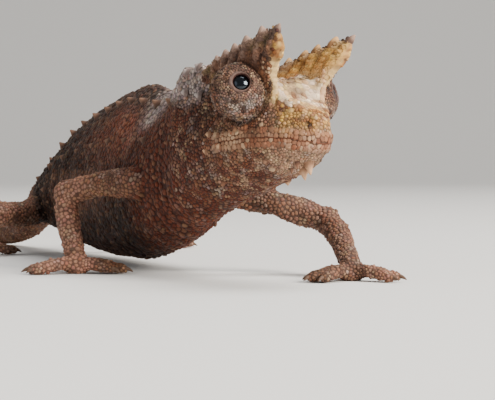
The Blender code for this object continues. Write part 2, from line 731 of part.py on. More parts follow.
def build_foot(name, limb, inner, outer, finishes):
    lower = limb[1]
    ankle, before = np.array(lower[-1][:3]), np.array(lower[-2][:3])
    run = (ankle - before) / np.linalg.norm(ankle - before)
    middle = ankle + run * 0.5
    middle[2] = 0.70
    level = np.array((run[0], run[1], 0.0)) / np.linalg.norm(run[:2])
    rows = [(*ankle, lower[-1][3]), (*middle, PALM_RADIUS)]
    rows.append((*(middle + level * 0.75), PALM_RADIUS * 0.62))
    palm = tube("palm", np.array(rows), sides=3)
    pieces = []
    for degrees, count in (inner, outer):
        turns = (np.arange(count) - (count - 1) / 2) * TOE_SPREAD
        for number, turn in enumerate(turns):
            length = TOE_LENGTH * (1.0 if count == 2 else (0.88, 1.06, 0.97)[number])
            direction = heading(degrees + turn)
            pieces.extend(toe(middle + direction * 0.2, direction, length))
    combine(palm, pieces, "UNION", "MANIFOLD")
    keep_side(palm, (0, 0, SOLE_SINK), (0, 0, 1))
    palm.data.transform(Matrix.Translation((0, 0, -SOLE_SINK * MM)))
    finish_node(palm, name, finishes["limb"])


def main():
    clear_scene()
    finishes = {
        "skin": make_material("skin", SKIN_BROWN, 0.75),
        "face": make_material("face", FACE_TAN, 0.7),
        "horn": make_material("horn", HORN_OCHRE, 0.6),
        "limb": make_material("limb", LIMB_GREY, 0.75),
        "eye": make_material("eye", EYE_BLACK, 0.08),
    }
    build_head(finishes)
    build_eye(1, "left", finishes)
    build_eye(-1, "right", finishes)
    build_neck(finishes)
    build_trunk(finishes)
    build_tail(finishes)
    build_limb(LEFT_ARM, ("upper_arm_left", "forearm_left"), finishes)
    build_limb(RIGHT_ARM, ("upper_arm_right", "forearm_right"), finishes)
    build_limb(LEFT_LEG, ("thigh_left", "shin_left"), finishes)
    build_limb(RIGHT_LEG, ("thigh_right", "shin_right"), finishes)
    for name, (limb, inner, outer) in FEET.items():
        build_foot(name, limb, inner, outer, finishes)


main()
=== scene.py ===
import math

import bpy
import numpy as np
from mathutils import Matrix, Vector


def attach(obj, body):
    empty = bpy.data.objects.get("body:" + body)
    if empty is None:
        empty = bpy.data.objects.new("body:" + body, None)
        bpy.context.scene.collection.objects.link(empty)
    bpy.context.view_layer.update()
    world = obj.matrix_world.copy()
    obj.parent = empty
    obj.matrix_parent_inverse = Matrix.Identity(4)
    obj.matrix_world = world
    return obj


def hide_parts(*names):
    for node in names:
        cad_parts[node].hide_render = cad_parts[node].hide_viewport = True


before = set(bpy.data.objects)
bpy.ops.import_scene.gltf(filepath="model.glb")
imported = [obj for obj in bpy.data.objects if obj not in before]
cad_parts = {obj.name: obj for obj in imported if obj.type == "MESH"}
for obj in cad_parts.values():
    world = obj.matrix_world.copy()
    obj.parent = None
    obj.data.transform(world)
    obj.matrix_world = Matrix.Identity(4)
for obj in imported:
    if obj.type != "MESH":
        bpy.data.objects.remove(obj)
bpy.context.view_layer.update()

mm = 0.001
standShift = np.array((0.6, -19.45, 0.0))
body = "root"


# One printed line for each stage.
def say(stage, *facts):
    print("chameleon:", stage, *facts)


# Small mathematics

# Turn about one axis, as a matrix that acts on columns.
def turnAbout(axis, degrees):
    c, s = math.cos(math.radians(degrees)), math.sin(math.radians(degrees))
    rows = {
        "X": ((1, 0, 0), (0, c, -s), (0, s, c)),
        "Y": ((c, 0, s), (0, 1, 0), (-s, 0, c)),
        "Z": ((c, -s, 0), (s, c, 0), (0, 0, 1)),
    }
    return np.array(rows[axis], float)


# Vectors at length 1.
def unit(vectors):
    return vectors / np.maximum(np.linalg.norm(vectors, axis=-1, keepdims=True), 1e-12)


# Length of each vector.
def lengths(vectors):
    return np.linalg.norm(vectors, axis=-1)


# Smooth step: 0 below low, 1 above high, 3t2 - 2t3 between.
def ramp(values, low, high):
    t = np.clip((values - low) / (high - low), 0.0, 1.0)
    return t * t * (3 - 2 * t)


# Bell: exp(-((x - middle) / width)^2).
def bell(values, middle, width):
    return np.exp(-(((values - middle) / width) ** 2))


# A table's row at each distance, on cubic Hermite spans with central slopes.
def along(table, where):
    keys, values = table[:, 0], table[:, 1:]
    slopes = np.gradient(values, keys, axis=0)
    where = np.atleast_1d(np.asarray(where, float))
    index = np.clip(np.searchsorted(keys, where) - 1, 0, len(keys) - 2)
    width = (keys[index + 1] - keys[index])[:, None]
    t = (where[:, None] - keys[index][:, None]) / width
    return (
        values[index] * (2 * t**3 - 3 * t**2 + 1)
        + slopes[index] * width * (t**3 - 2 * t**2 + t)
        + values[index + 1] * (3 * t**2 - 2 * t**3)
        + slopes[index + 1] * width * (t**3 - t**2)
    )


# Value noise: lattice values from the fraction of a scaled sine, blended by smooth steps
# along the three axes. It runs from 0 to 1.
def cloud(points, size, seed=0.0):
    spot = points / size + 37.0 + seed
    cell = np.floor(spot)
    t = spot - cell
    t = t * t * (3 - 2 * t)
    total = np.zeros(len(points))
    for corner in np.ndindex(2, 2, 2):
        share = np.prod(np.where(np.array(corner) == 1, t, 1 - t), axis=1)
        mark = np.sin((cell + corner) @ np.array((12.9898, 78.233, 37.719)) + seed) * 43758.5453
        total += share * (mark - np.floor(mark))
    return total


# Even turns round a circle.
def turns(count):
    return np.arange(count) * 2 * math.pi / count


# Soft-edged spots of the value noise.
def spots(points, size, seed, low, high):
    return ramp(cloud(points, size, seed), low, high)


# Distance along a path to each of its points.
def runOf(path):
    return np.concatenate([[0], np.cumsum(lengths(np.diff(path, axis=0)))])


# Places at the given distances along a path.
def placesAt(path, marks):
    run = runOf(path)
    return np.stack([np.interp(marks, run, path[:, i]) for i in range(3)], axis=1)


# Rows of a path spaced evenly by length, on a smooth line through the given rows.
def smoothPath(rows, count):
    rows = np.asarray(rows, float)
    keys = runOf(rows[:, :3])
    table = np.column_stack([keys / keys[-1], rows])
    return along(table, np.linspace(0, 1, count))


# Mesh making

# Quads of a grid of rings, each ring closed on itself.
def ringFaces(rings, around, start=0):
    i, j = np.arange(rings - 1)[:, None], np.arange(around)[None, :]
    k = (j + 1) % around
    here, there = i * around, (i + 1) * around
    quads = np.stack([here + j, here + k, there + k, there + j], -1)
    return quads.reshape(-1, 4) + start


# A stack of rings (n, around, 3), closed by a point at the middle of its first and last ring.
def closedStack(rings):
    first, last = rings[:1].mean(axis=1, keepdims=True), rings[-1:].mean(axis=1, keepdims=True)
    ends = [np.repeat(end, rings.shape[1], axis=1) for end in (first, last)]
    rings = np.concatenate([ends[0], rings, ends[1]])
    return rings.reshape(-1, 3), ringFaces(len(rings), rings.shape[1])


# Round bar: circles of the path's radius, square to the path, in two directions across it.
def barStack(rows, around=14):
    rows = np.asarray(rows, float)
    heading = unit(np.gradient(rows[:, :3], axis=0))
    spare = np.eye(3)[np.abs(heading).max(axis=0).argmin()]
    across = unit(np.cross(heading, spare))
    over = np.cross(heading, across)
    turn = np.linspace(0, 2 * math.pi, around, endpoint=False)[None, :, None]
    ring = across[:, None] * np.cos(turn) + over[:, None] * np.sin(turn)
    return closedStack(rows[:, None, :3] + ring * rows[:, None, 3:4])


# Ball: circles of latitude about the upright axis.
def ballStack(centre, radius, rings=14, around=24):
    lift = np.linspace(-0.5, 0.5, rings)[:, None] * math.pi * 0.999
    turn = np.linspace(0, 2 * math.pi, around, endpoint=False)[None, :]
    flat = np.cos(lift)
    unitBall = np.stack([flat * np.cos(turn), flat * np.sin(turn), np.sin(lift) + 0 * turn], -1)
    return closedStack(np.asarray(centre) + radius * unitBall)


# Joins several (points, faces) into one pair of arrays.
def joined(pieces):
    points, faces, count = [], [], 0
    for place, quads in pieces:
        points.append(place)
        faces.append(quads + count)
        count += len(place)
    return np.concatenate(points), np.concatenate(faces)


# A mesh object from points and sets of faces, each set with its own number of corners.
def meshObject(name, points, faceSets, scale=1.0, shift=(0, 0, 0)):
    mesh = bpy.data.meshes.new(name)
    loops = np.concatenate([f.reshape(-1) for f in faceSets]).astype(np.int32)
    sizes = np.concatenate([np.full(len(f), f.shape[1]) for f in faceSets])
    starts = np.concatenate([[0], np.cumsum(sizes)[:-1]]).astype(np.int32)
    mesh.vertices.add(len(points))
    mesh.vertices.foreach_set("co", ((points + shift) * scale).astype(np.float32).reshape(-1))
    mesh.loops.add(len(loops))
    mesh.loops.foreach_set("vertex_index", loops)
    mesh.polygons.add(len(starts))
    mesh.polygons.foreach_set("loop_start", starts)
    mesh.update(calc_edges=True)
    mesh.validate()
    piece = bpy.data.objects.new(name, mesh)
    bpy.context.scene.collection.objects.link(piece)
    return piece


# A finished piece: metres, smooth, with a colour and a height mark on each point. The mark may
# be one number for all of them. The material paints shade where the mark is low and a paler top,
# partly painted highlight, where it is high.
def dressedPiece(name, points, faceSets, tint, rise, material):
    points = np.column_stack([points[:, :2], np.maximum(points[:, 2], 0.0)])
    piece = meshObject(name, points, faceSets, mm, standShift)
    mesh = piece.data
    colours = mesh.attributes.new("tint", "FLOAT_COLOR", "POINT")
    full = np.column_stack([tint, np.ones(len(tint))]).astype(np.float32)
    colours.data.foreach_set("color", full.reshape(-1))
    height = mesh.attributes.new("rise", "FLOAT", "POINT")
    height.data.foreach_set("value", np.full(len(points), rise, np.float32))
    mesh.shade_smooth()
    mesh.materials.append(material)
    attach(piece, body)
    say(name, len(mesh.vertices), "points", len(mesh.polygons), "faces")
    return piece


# Normals of a quad mesh: cross products of the quads' diagonals, summed at their corners.
def vertexNormals(points, quads):
    a, b, c, d = (points[quads[:, i]] for i in range(4))
    square = np.cross(c - a, d - b)
    total = np.stack([
        np.bincount(quads.reshape(-1), np.repeat(square[:, i], 4), len(points)) for i in range(3)
    ], axis=1)
    return unit(total)


# The head's own axes: forward, left and up from the point midway between the eyes.
headFrame = {"place": (2.4, -11.0, 11.95), "yaw": 20.0, "pitch": -5.0, "roll": 4.0}
headTurn = (
    turnAbout("Z", headFrame["yaw"])
    @ turnAbout("X", headFrame["pitch"])
    @ turnAbout("Y", headFrame["roll"])
)


# Points of the head's axes in the body's.
def toBody(points):
    points = np.asarray(points, float)
    local = np.stack([points[..., 1], -points[..., 0], points[..., 2]], axis=-1)
    return local @ headTurn.T + headFrame["place"]


# A direction of the head's axes in the body's.
def wayToBody(ways):
    return toBody(ways) - toBody(np.zeros(3))


# Points of the body in the head's axes.
def toHead(points):
    local = (points - headFrame["place"]) @ headTurn
    return np.stack([-local[..., 1], local[..., 0], local[..., 2]], axis=-1)


# Skin

# Rows of the head: forward, middle of the crown, (out, up) of brow, temple, cheek, lip and jaw,
# then the throat.
headRows = np.array([
    (-7.3, 2.1, 1.5, 2.15, 2.2, 0.3, 2.65, -2.0, 2.70, -3.60, 2.20, -6.00, -7.8),
    (-5.5, 1.9, 1.8, 2.30, 2.3, 0.1, 2.90, -2.1, 3.00, -3.40, 2.40, -5.60, -7.2),
    (-3.5, 1.45, 2.0, 1.65, 2.2, 0.0, 3.00, -2.2, 3.10, -3.20, 2.40, -5.20, -6.6),
    (-1.5, 1.1, 2.15, 1.30, 2.0, 0.0, 2.90, -2.3, 3.00, -3.10, 2.30, -4.90, -6.0),
    (0.0, 0.85, 2.15, 1.08, 1.9, 0.0, 2.70, -2.2, 2.80, -3.05, 2.20, -4.70, -5.6),
    (1.2, 0.58, 2.15, 0.95, 1.9, -0.2, 2.45, -2.1, 2.55, -3.05, 1.95, -4.55, -5.3),
    (1.9, 0.15, 2.0, 0.45, 1.95, -0.4, 2.25, -2.1, 2.30, -3.10, 1.75, -4.50, -5.1),
    (2.4, -0.6, 1.9, -0.45, 1.9, -1.1, 2.00, -2.1, 2.10, -3.13, 1.60, -4.20, -4.65),
    (3.2, -1.0, 1.45, -1.05, 1.5, -1.6, 1.62, -2.3, 1.70, -3.24, 1.20, -3.98, -4.28),
    (3.85, -1.45, 0.92, -1.62, 1.02, -2.0, 1.10, -2.5, 1.10, -3.36, 0.62, -3.74, -3.86),
    (4.3, -1.95, 0.48, -2.08, 0.60, -2.4, 0.66, -2.7, 0.58, -3.38, 0.34, -3.52, -3.58),
    (4.52, -2.4, 0.25, -2.50, 0.34, -2.7, 0.38, -2.9, 0.32, -3.20, 0.20, -3.36, -3.42),
])

# Rows of the trunk: back from the shoulders, how far the middle lies to the left, top, bottom
# and half width.
trunkRows = np.array([
    (-6.0, 0.0, 12.55, 4.9, 2.5),
    (-1.8, 0.0, 12.6, 2.9, 2.8),
    (0.0, 0.0, 12.55, 2.2, 2.9),
    (3.5, 0.0, 12.7, 1.4, 3.15),
    (7.0, 0.0, 13.1, 0.8, 3.3),
    (11.0, 0.0, 12.9, 0.55, 3.45),
    (15.0, -0.1, 12.35, 0.50, 3.5),
    (19.0, -0.35, 11.6, 0.75, 3.4),
    (24.0, -0.75, 10.15, 1.4, 3.1),
    (28.0, -1.15, 8.3, 2.0, 2.7),
    (31.0, -1.45, 6.75, 2.6, 2.0),
])
trunkShape = np.array(((0.0, 0.0), (0.40, 0.09), (0.86, 0.32), (1.0, 0.54), (0.94, 0.70),
                       (0.66, 0.90), (0.0, 1.0)))

limbs = {
    "leftArm": (
        ((1.2, -0.4, 6.2, 1.25), (2.6, -0.9, 5.9, 1.15), (5.6, -2.2, 4.9, 0.88),
         (8.9, -3.6, 3.7, 0.80)),
        ((8.9, -3.6, 3.7, 0.76), (8.9, -5.4, 3.0, 0.82), (8.6, -7.6, 1.9, 0.72),
         (8.3, -9.1, 1.15, 0.66)),
    ),
    "rightArm": (
        ((-1.2, 0.2, 6.2, 1.25), (-2.7, 1.0, 6.2, 1.15), (-4.8, 4.0, 6.1, 0.84),
         (-6.6, 6.6, 5.4, 0.80)),
        ((-6.6, 6.6, 5.4, 0.76), (-6.8, 5.8, 3.9, 0.82), (-6.8, 4.5, 2.3, 0.70),
         (-6.8, 3.5, 1.15, 0.66)),
    ),
    "leftLeg": (
        ((0.2, 28.3, 4.4, 1.35), (1.6, 27.9, 4.3, 1.25), (4.6, 26.8, 4.3, 0.98),
         (7.4, 26.0, 4.1, 0.84)),
        ((7.4, 26.0, 4.1, 0.80), (7.6, 28.0, 3.2, 0.84), (7.6, 29.9, 2.1, 0.72),
         (7.5, 31.4, 1.2, 0.66)),
    ),
    "rightLeg": (
        ((-1.5, 28.2, 4.4, 1.35), (-3.0, 27.7, 4.0, 1.25), (-5.4, 26.1, 3.3, 1.02),
         (-7.8, 24.6, 3.5, 0.84)),
        ((-7.8, 24.6, 3.5, 0.80), (-8.3, 26.2, 2.8, 0.84), (-8.5, 27.7, 1.9, 0.72),
         (-8.5, 28.9, 1.2, 0.66)),
    ),
}
tailRows = ((-1.40, 29.0, 4.9, 1.9), (-1.45, 31.0, 4.6, 1.85), (-1.6, 32.2, 4.5, 1.70),
            (-1.9, 34.7, 3.35, 1.40), (-2.4, 38.0, 1.85, 1.12), (-3.3, 42.0, 0.98, 0.90),
            (-4.8, 46.0, 0.70, 0.74), (-7.0, 49.6, 0.54, 0.58), (-9.8, 52.6, 0.42, 0.46),
            (-13.1, 54.8, 0.32, 0.34))

# Each foot: the heading of its inner and outer bundle of toes, in degrees from straight ahead
# towards the animal's left, with the number of toes.
feet = {
    "leftArm": ((-72, 3), (36, 2)),
    "rightArm": ((58, 3), (-84, 2)),
    "leftLeg": ((-48, 2), (92, 3)),
    "rightLeg": ((52, 2), (-96, 3)),
}

skin = {
    "voxel": 0.165,
    "coarseVoxel": 0.24,
    "headFrom": -7.3,
    "headTo": 4.44,
    "napeRise": 0.75,
    "trunkFrom": -1.8,
    "trunkTo": 31.0,
    "kneeRadius": 0.98,
    "toeLength": 3.3,
    "toeRadius": 0.42,
    "toeSpread": 15.0,
    "palmRadius": 0.84,
    "palmHeight": 0.63,
    "lipRadius": 0.25,
    "lipRise": 0.28,
    "lipInset": 0.13,
    "jawBack": 0.34,
    "smoothing": 4,
}
lipSteps = np.array((-2.4, -1.0, 0.5, 2.0, 3.1, 3.8, 4.12))
lipNose = (4.20, 0.0, -3.42)
browStrip = ((2.0, 2.0, 0.9, 0.30), (1.95, 2.0, 0.2, 0.30), (1.9, 1.95, -0.6, 0.30),
             (1.95, 1.85, -1.2, 0.28), (2.2, 1.6, -1.5, 0.22))

turret = {
    "place": (0.0, 2.92, -0.1),
    "radius": 1.80,
    "gaze": (0.79, 0.57, 0.22),
    "opening": 0.56,
}


# A head point on the left for side 1 and on the right for side -1.
def onSide(point, side):
    return np.array((point[0], point[1] * side, point[2]))


# A turret's middle.
def turretCentre(side):
    return toBody(onSide(turret["place"], side))


# The direction in which a turret's eye looks.
def turretGaze(side):
    return unit(wayToBody(onSide(turret["gaze"], side)))


# Distance of points from a turret's centre, how far they lie along its gaze, and how far off it.
def fromTurret(points, side):
    away, gaze = points - turretCentre(side), turretGaze(side)
    deep = away @ gaze
    return lengths(away), deep, lengths(away - deep[:, None] * gaze)


# The trunk's middle, top, bottom and half width at each distance back.
def trunkAt(backs):
    return along(trunkRows, np.clip(backs, *trunkRows[[0, -1], 0])).T


# Sections: closed Catmull-Rom curves through a half row of corners and its mirror, a whole
# stack at once.
def sectionStack(half, steps):
    corners = np.concatenate([half, half[:, -2:0:-1] * (-1.0, 1.0)], axis=1)
    a, b, c, d = (np.roll(corners, n, axis=1)[:, :, None] for n in (1, 0, -1, -2))
    t = (np.arange(steps) / steps)[None, None, :, None]
    curve = 0.5 * (
        2 * b + (c - a) * t + (2 * a - 5 * b + 4 * c - d) * t**2
        + (3 * b - a - 3 * c + d) * t**3
    )
    return curve.reshape(len(half), -1, 2)


# Sections of the head: crown, five corners a side and throat of each row.
def headRings(forwards, steps=6):
    rows = along(headRows, forwards)
    half = np.zeros((len(rows), 7, 2))
    half[:, 0, 1], half[:, 6, 1] = rows[:, 0], rows[:, 11]
    half[:, 1:6] = rows[:, 1:11].reshape(-1, 5, 2)
    flat = sectionStack(half, steps)
    deep = np.broadcast_to(np.asarray(forwards)[:, None, None], flat[..., :1].shape)
    return toBody(np.concatenate([deep, flat], axis=-1))


# Sections of the trunk: its half shape, widened and stretched to each row.
def trunkRings(backs, steps=6):
    middle, top, bottom, width = trunkAt(backs)
    half = np.empty((len(middle), len(trunkShape), 2))
    half[..., 0] = trunkShape[:, 0] * width[:, None]
    half[..., 1] = top[:, None] - trunkShape[:, 1] * (top - bottom)[:, None]
    flat = sectionStack(half, steps)
    across = flat[..., 0] + middle[:, None]
    deep = np.broadcast_to(np.asarray(backs)[:, None], across.shape)
    return np.stack([across, deep, flat[..., 1]], axis=-1)


# Neck: a straight run between the head's last section and the trunk's first, with the nape
# lifted by a half sine.
def neckRings(steps=6):
    first, last = headRings([skin["headFrom"]], steps)[0], trunkRings([skin["trunkFrom"]], steps)[0]
    share = np.linspace(-0.12, 1.12, 16)[:, None, None]
    rings = first + (last - first) * share
    low, high = rings[..., 2].min(axis=1, keepdims=True), rings[..., 2].max(axis=1, keepdims=True)
    height = (rings[..., 2] - low) / (high - low)
    lift = np.sin(math.pi * np.clip(share[..., 0], 0, 1) ** 0.8)
    rings[..., 2] += skin["napeRise"] * lift * height**4
    return rings


# Path along the mouth, at a height from its line, from the right corner to the left one.
def lipPath(rise, inset=None, count=60):
    inset = skin["lipInset"] if inset is None else inset
    row = along(headRows, lipSteps)
    line = np.column_stack([lipSteps, row[:, 7] - inset, row[:, 8] + rise])
    nose = np.array([lipNose]) + (0, 0, rise)
    both = np.concatenate([line * (1, -1, 1), nose, line[::-1]])
    both[:, 0] -= skin["jawBack"] * (rise < 0) * ramp(both[:, 0], 2.2, 4.2)
    radius = np.full((len(both), 1), skin["lipRadius"])
    return smoothPath(np.column_stack([both, radius]), count)


# Level direction at an angle from straight ahead.
def heading(degrees):
    turn = math.radians(degrees)
    return np.array((math.sin(turn), -math.cos(turn), 0.0))


# A toe runs level from the palm, rises over its knuckle and comes down to the claw.
def toePath(middle, direction, length):
    share = np.array((0.0, 0.15, 0.3, 0.45, 0.6, 0.75, 0.88, 0.96, 1.0))
    height = np.interp(share, (0, 0.3, 0.6, 0.85, 1), (0.60, 0.68, 0.53, 0.36, 0.30))
    pad = 1 + 0.10 * np.sin(share * math.pi * 5)
    radius = skin["toeRadius"] * np.interp(share, (0, 0.3, 0.6, 0.85, 0.96, 1),
                                           (1.15, 1.0, 0.92, 0.84, 0.62, 0.2)) * pad
    place = middle + direction * 0.2 + direction * (length * share)[:, None]
    return np.column_stack([place[:, :2], height, radius])


# Palm, its middle and every toe (direction, length) of one foot.
def footPlan(limb):
    lower = np.array(limbs[limb][1])
    ankle, before = lower[-1, :3], lower[-2, :3]
    run = unit(ankle - before)
    middle = ankle + run * 0.5
    middle[2] = skin["palmHeight"]
    toes = []
    for degrees, count in feet[limb]:
        turns = (np.arange(count) - (count - 1) / 2) * skin["toeSpread"]
        for number, turn in enumerate(turns):
            grow = 1.0 if count == 2 else (0.88, 1.06, 0.97)[number]
            toes.append((heading(degrees + turn), skin["toeLength"] * grow))
    level = unit(np.array((run[0], run[1], 0.0)))
    palm = np.array([
        (*ankle, lower[-1, 3]), (*middle, skin["palmRadius"]),
        (*(middle + level * 0.75), skin["palmRadius"] * 0.62),
    ])
    return palm, middle, toes


# Every closed piece that the skin is fused from.
def skinPieces():
    pieces = [
        closedStack(headRings(np.linspace(skin["headFrom"], skin["headTo"], 90))),
        closedStack(trunkRings(np.linspace(skin["trunkFrom"] - 0.4, skin["trunkTo"], 110))),
        closedStack(neckRings()),
        barStack(smoothPath(tailRows, 90), 20),
    ]
    for rise in (skin["lipRise"], -skin["lipRise"]):
        path = lipPath(rise)
        path[:, :3] = toBody(path[:, :3])
        pieces.append(barStack(path, 12))
    for side in (-1, 1):
        strip = smoothPath(browStrip, 12) * (1, side, 1, 1)
        strip[:, :3] = toBody(strip[:, :3])
        pieces.append(barStack(strip, 12))
        pieces.append(ballStack(turretCentre(side), turret["radius"], 30, 48))
    for limb, (upper, lower) in limbs.items():
        pieces.append(barStack(smoothPath(upper, 40), 18))
        pieces.append(barStack(smoothPath(lower, 40), 18))
        pieces.append(ballStack(upper[-1][:3], skin["kneeRadius"]))
        palm, middle, toes = footPlan(limb)
        pieces.append(barStack(smoothPath(palm, 12), 16))
        pieces.extend(barStack(toePath(middle, way, length), 12) for way, length in toes)
    return pieces


# One voxel remesh joins the pieces, and a smoothing pass takes the steps off. It works in
# millimetres, because a voxel in metres can't be this small.
def fusedSkin():
    points, quads = joined(skinPieces())
    rough = meshObject("rough", points, [quads])
    remesh = rough.modifiers.new("fuse", "REMESH")
    remesh.mode = "VOXEL"
    remesh.voxel_size = skin["voxel"]
    soften = rough.modifiers.new("soften", "SMOOTH")
    soften.factor = 0.5
    soften.iterations = skin["smoothing"]
    graph = bpy.context.evaluated_depsgraph_get()
    mesh = rough.evaluated_get(graph).to_mesh()
    points = np.empty(len(mesh.vertices) * 3, np.float32)
    mesh.vertices.foreach_get("co", points)
    quads = np.empty(len(mesh.loops), np.int32)
    mesh.loops.foreach_get("vertex_index", quads)
    rough.evaluated_get(graph).to_mesh_clear()
    old = rough.data
    bpy.data.objects.remove(rough)
    bpy.data.meshes.remove(old)
    say("skin fused", len(points) // 3)
    return points.reshape(-1, 3).astype(float), quads.reshape(-1, 4)


# Folds: each is a bell or a wave of a distance.
folds = {
    "socketGroove": (1.96, 0.12, -0.22),  # distance from the turret's centre, width, depth
    "socketRim": (2.26, 0.14, 0.08),
    "outerGroove": (2.48, 0.10, -0.05),
    "nostril": (3.95, 0.90, -2.3, 0.17, 0.28),
    "pit": (2.75, 1.15, -1.95, 0.14, 0.16),
    "craterDepth": 0.75,
    "turretFold": 0.05,
    "craterBlend": (-0.12, 0.14),  # the crater's edge, from the eye's opening
    "neckFold": 0.13,
    "neckWave": (4.5, 0.5),  # swings for each millimetre back and up
    "flankFold": 0.10,
    "flankWave": (1.9, -0.7),
    "lumps": 0.16,
    "browLumps": 0.26,
}


# Wrinkles of a turret: a net of thin lines where noise crosses its middle value, and broken rings
# about the eye, the peaks of a sine of the distance from the eye's axis.
def turretWrinkles(points, off):
    net = ramp(1 - np.abs(2 * cloud(points, 0.42, 54.0) - 1), 0.80, 0.95)
    rings = ramp(np.abs(np.sin(6.5 * off + 3 * cloud(points, 0.7, 55.0))), 0.93, 1.0)
    return np.maximum(net, 0.8 * rings) * ramp(off, 0.75, 0.95)


# The skin with its folds: a sum of pushes along each point's own direction.
def foldedSkin(points, quads):
    normals = vertexNormals(points, quads)
    head = toHead(points)
    push = np.zeros(len(points))
    onHead = ramp(head[:, 0], -8.5, -6.0)
    nearTurret = np.full(len(points), 9.0)
    for side in (-1, 1):
        reach, deep, off = fromTurret(points, side)
        nearTurret = np.minimum(nearTurret, reach)
        for name in ("socketGroove", "socketRim", "outerGroove"):
            middle, width, depth = folds[name]
            push += depth * bell(reach, middle, width) * (reach > turret["radius"] + 0.03)
        push -= folds["turretFold"] * turretWrinkles(points, off) * (reach < 1.92) * (deep > 0)
        low, high = (turret["opening"] + edge for edge in folds["craterBlend"])
        inEye = (1 - ramp(off, low, high)) * (deep > 0.6) * (reach < 2.1)
        points = points - turretGaze(side) * (folds["craterDepth"] * inEye)[:, None]
        for name in ("nostril", "pit"):
            *place, wide, deep = folds[name]
            push -= deep * bell(lengths(head - onSide(place, side)), 0.0, wide)
    free = ramp(nearTurret, 1.9, 2.4)
    lumps = cloud(points, 1.3, 1.0) * 0.6 + cloud(points, 0.6, 5.0) * 0.4 - 0.5
    push += folds["lumps"] * lumps * (free * onHead * 0.7 + (1 - onHead))
    brow = ramp(head[:, 0], -0.5, 1.0) * ramp(head[:, 2], -1.8, -0.8) * free
    push += folds["browLumps"] * brow * (cloud(points, 0.55, 7.0) - 0.5)
    # Skin folds round the neck, and slanting ones down the flank.
    y, z = points[:, 1], points[:, 2]
    neck = bell(y, -2.5, 2.2) * ramp(-z, -12.0, -9.0)
    back, up = folds["neckWave"]
    push += folds["neckFold"] * neck * np.sin(y * back + z * up)
    flank = ramp(y, 3.0, 7.0) * (1 - ramp(y, 24.0, 28.0)) * bell(z, 5.5, 3.2)
    back, up = folds["flankWave"]
    wave = np.sin(y * back + z * up + 2 * cloud(points, 3.0, 9.0))
    push += folds["flankFold"] * flank * wave
    points = points + normals * push[:, None]
    points[:, 2] = np.maximum(points[:, 2], 0.0)
    return points, vertexNormals(points, quads)


# Height of the mouth's line at each distance forward.
def mouthHeight(f):
    return along(headRows, np.clip(f, *headRows[[0, -1], 0]))[:, 8]


# Markings

# Colours as the eye names them, on the screen's scale of 0 to 255.
palette = {
    "facePink": (116, 79, 58), "faceCream": (178, 148, 116), "faceRust": (122, 68, 42),
    "faceDark": (44, 28, 22), "turretTan": (106, 76, 62), "turretGrey": (146, 134, 126),
    "ochreDeep": (126, 74, 30), "snoutYellow": (194, 150, 74), "foreheadPale": (202, 168, 120),
    "foreheadPink": (196, 152, 122), "foreheadShade": (140, 114, 88),
    "foreheadWhite": (226, 204, 178), "lipPink": (138, 92, 66), "lipLine": (80, 34, 20),
    "chinGrey": (156, 124, 100), "throatRed": (82, 37, 21), "flankRust": (116, 66, 48),
    "flankPurple": (36, 21, 15), "belly": (40, 18, 8), "backBrownShade": (60, 49, 43),
    "nape": (162, 148, 143), "limb": (113, 78, 61), "limbOchre": (121, 84, 60),
    "limbPaintedLight": (158, 114, 94), "gap": (28, 16, 11), "black": (2, 2, 3), "claw": (84, 62, 48),
    "hornMauve": (84, 52, 37), "hornKnob": (150, 122, 106), "hornYellow": (214, 172, 98),
    "hornOchre": (146, 94, 34), "hornCream": (182, 150, 98), "hornOlive": (112, 94, 62),
    "plateOchre": (184, 124, 54), "plateTan": (194, 148, 94), "plateBrown": (116, 74, 48),
    "mouthSeam": (100, 58, 36), "lidPink": (83, 59, 50), "lidDark": (56, 22, 15),
    "irisBrown": (88, 38, 22), "spinePale": (184, 144, 110), "spineBody": (112, 82, 64),
    "tuberclePale": (164, 128, 102),
}


# Spots of the face: forward, out, up, radius and tone.
# Among them, the foreheadWhite spots at (1.75, 1.50, 0.80) and (2.25, 1.50, -0.25) are painted
# highlights, and the foreheadShade spot at (0.3, 0.80, 1.00) is painted shadow at the far horn's
# foot.
faceSpots = (
    (2.80, 1.80, -1.15, 0.26, "ochreDeep"), (2.45, 1.96, -1.87, 0.15, "lidDark"),
    (4.11, 0.82, -2.48, 0.24, "lidDark"), (3.58, 1.20, -1.28, 0.14, "ochreDeep"),
    (2.35, 0.50, -0.52, 0.16, "ochreDeep"), (4.20, 0.43, -1.60, 0.22, "ochreDeep"),
    (3.90, 1.0, -1.62, 0.16, "hornCream"), (0.9, 2.75, -2.2, 0.2, "faceRust"),
    (-0.3, 2.95, -2.5, 0.22, "faceCream"), (1.6, 2.3, -3.6, 0.2, "faceRust"),
    (0.3, 0.80, 1.00, 0.45, "foreheadShade"), (1.75, 1.50, 0.80, 0.34, "foreheadWhite"),
    (2.25, 1.50, -0.25, 0.28, "foreheadWhite"), (2.05, 0.05, 0.0, 0.34, "foreheadShade"),
    (2.48, 1.93, -1.03, 0.20, "ochreDeep"), (2.89, 1.78, -1.27, 0.17, "plateBrown"),
    (3.68, 1.17, -1.31, 0.15, "ochreDeep"), (3.40, 0.98, -1.20, 0.14, "plateBrown"),
    (2.15, 0.37, -0.38, 0.13, "hornOlive"), (3.05, 1.62, -1.30, 0.14, "ochreDeep"),
    (2.62, 1.90, -1.45, 0.20, "lipLine"), (2.21, 0.37, -0.42, 0.30, "plateBrown"),
    (1.12, 0.06, 0.57, 0.50, "foreheadShade"), (3.62, 1.10, -1.36, 0.30, "ochreDeep"),
    (3.87, 0.19, -1.50, 0.28, "ochreDeep"), (3.12, 1.54, -1.10, 0.22, "foreheadWhite"),
    (2.75, 1.30, -0.85, 0.20, "plateBrown"), (4.00, 0.55, -1.90, 0.20, "plateBrown"),
)


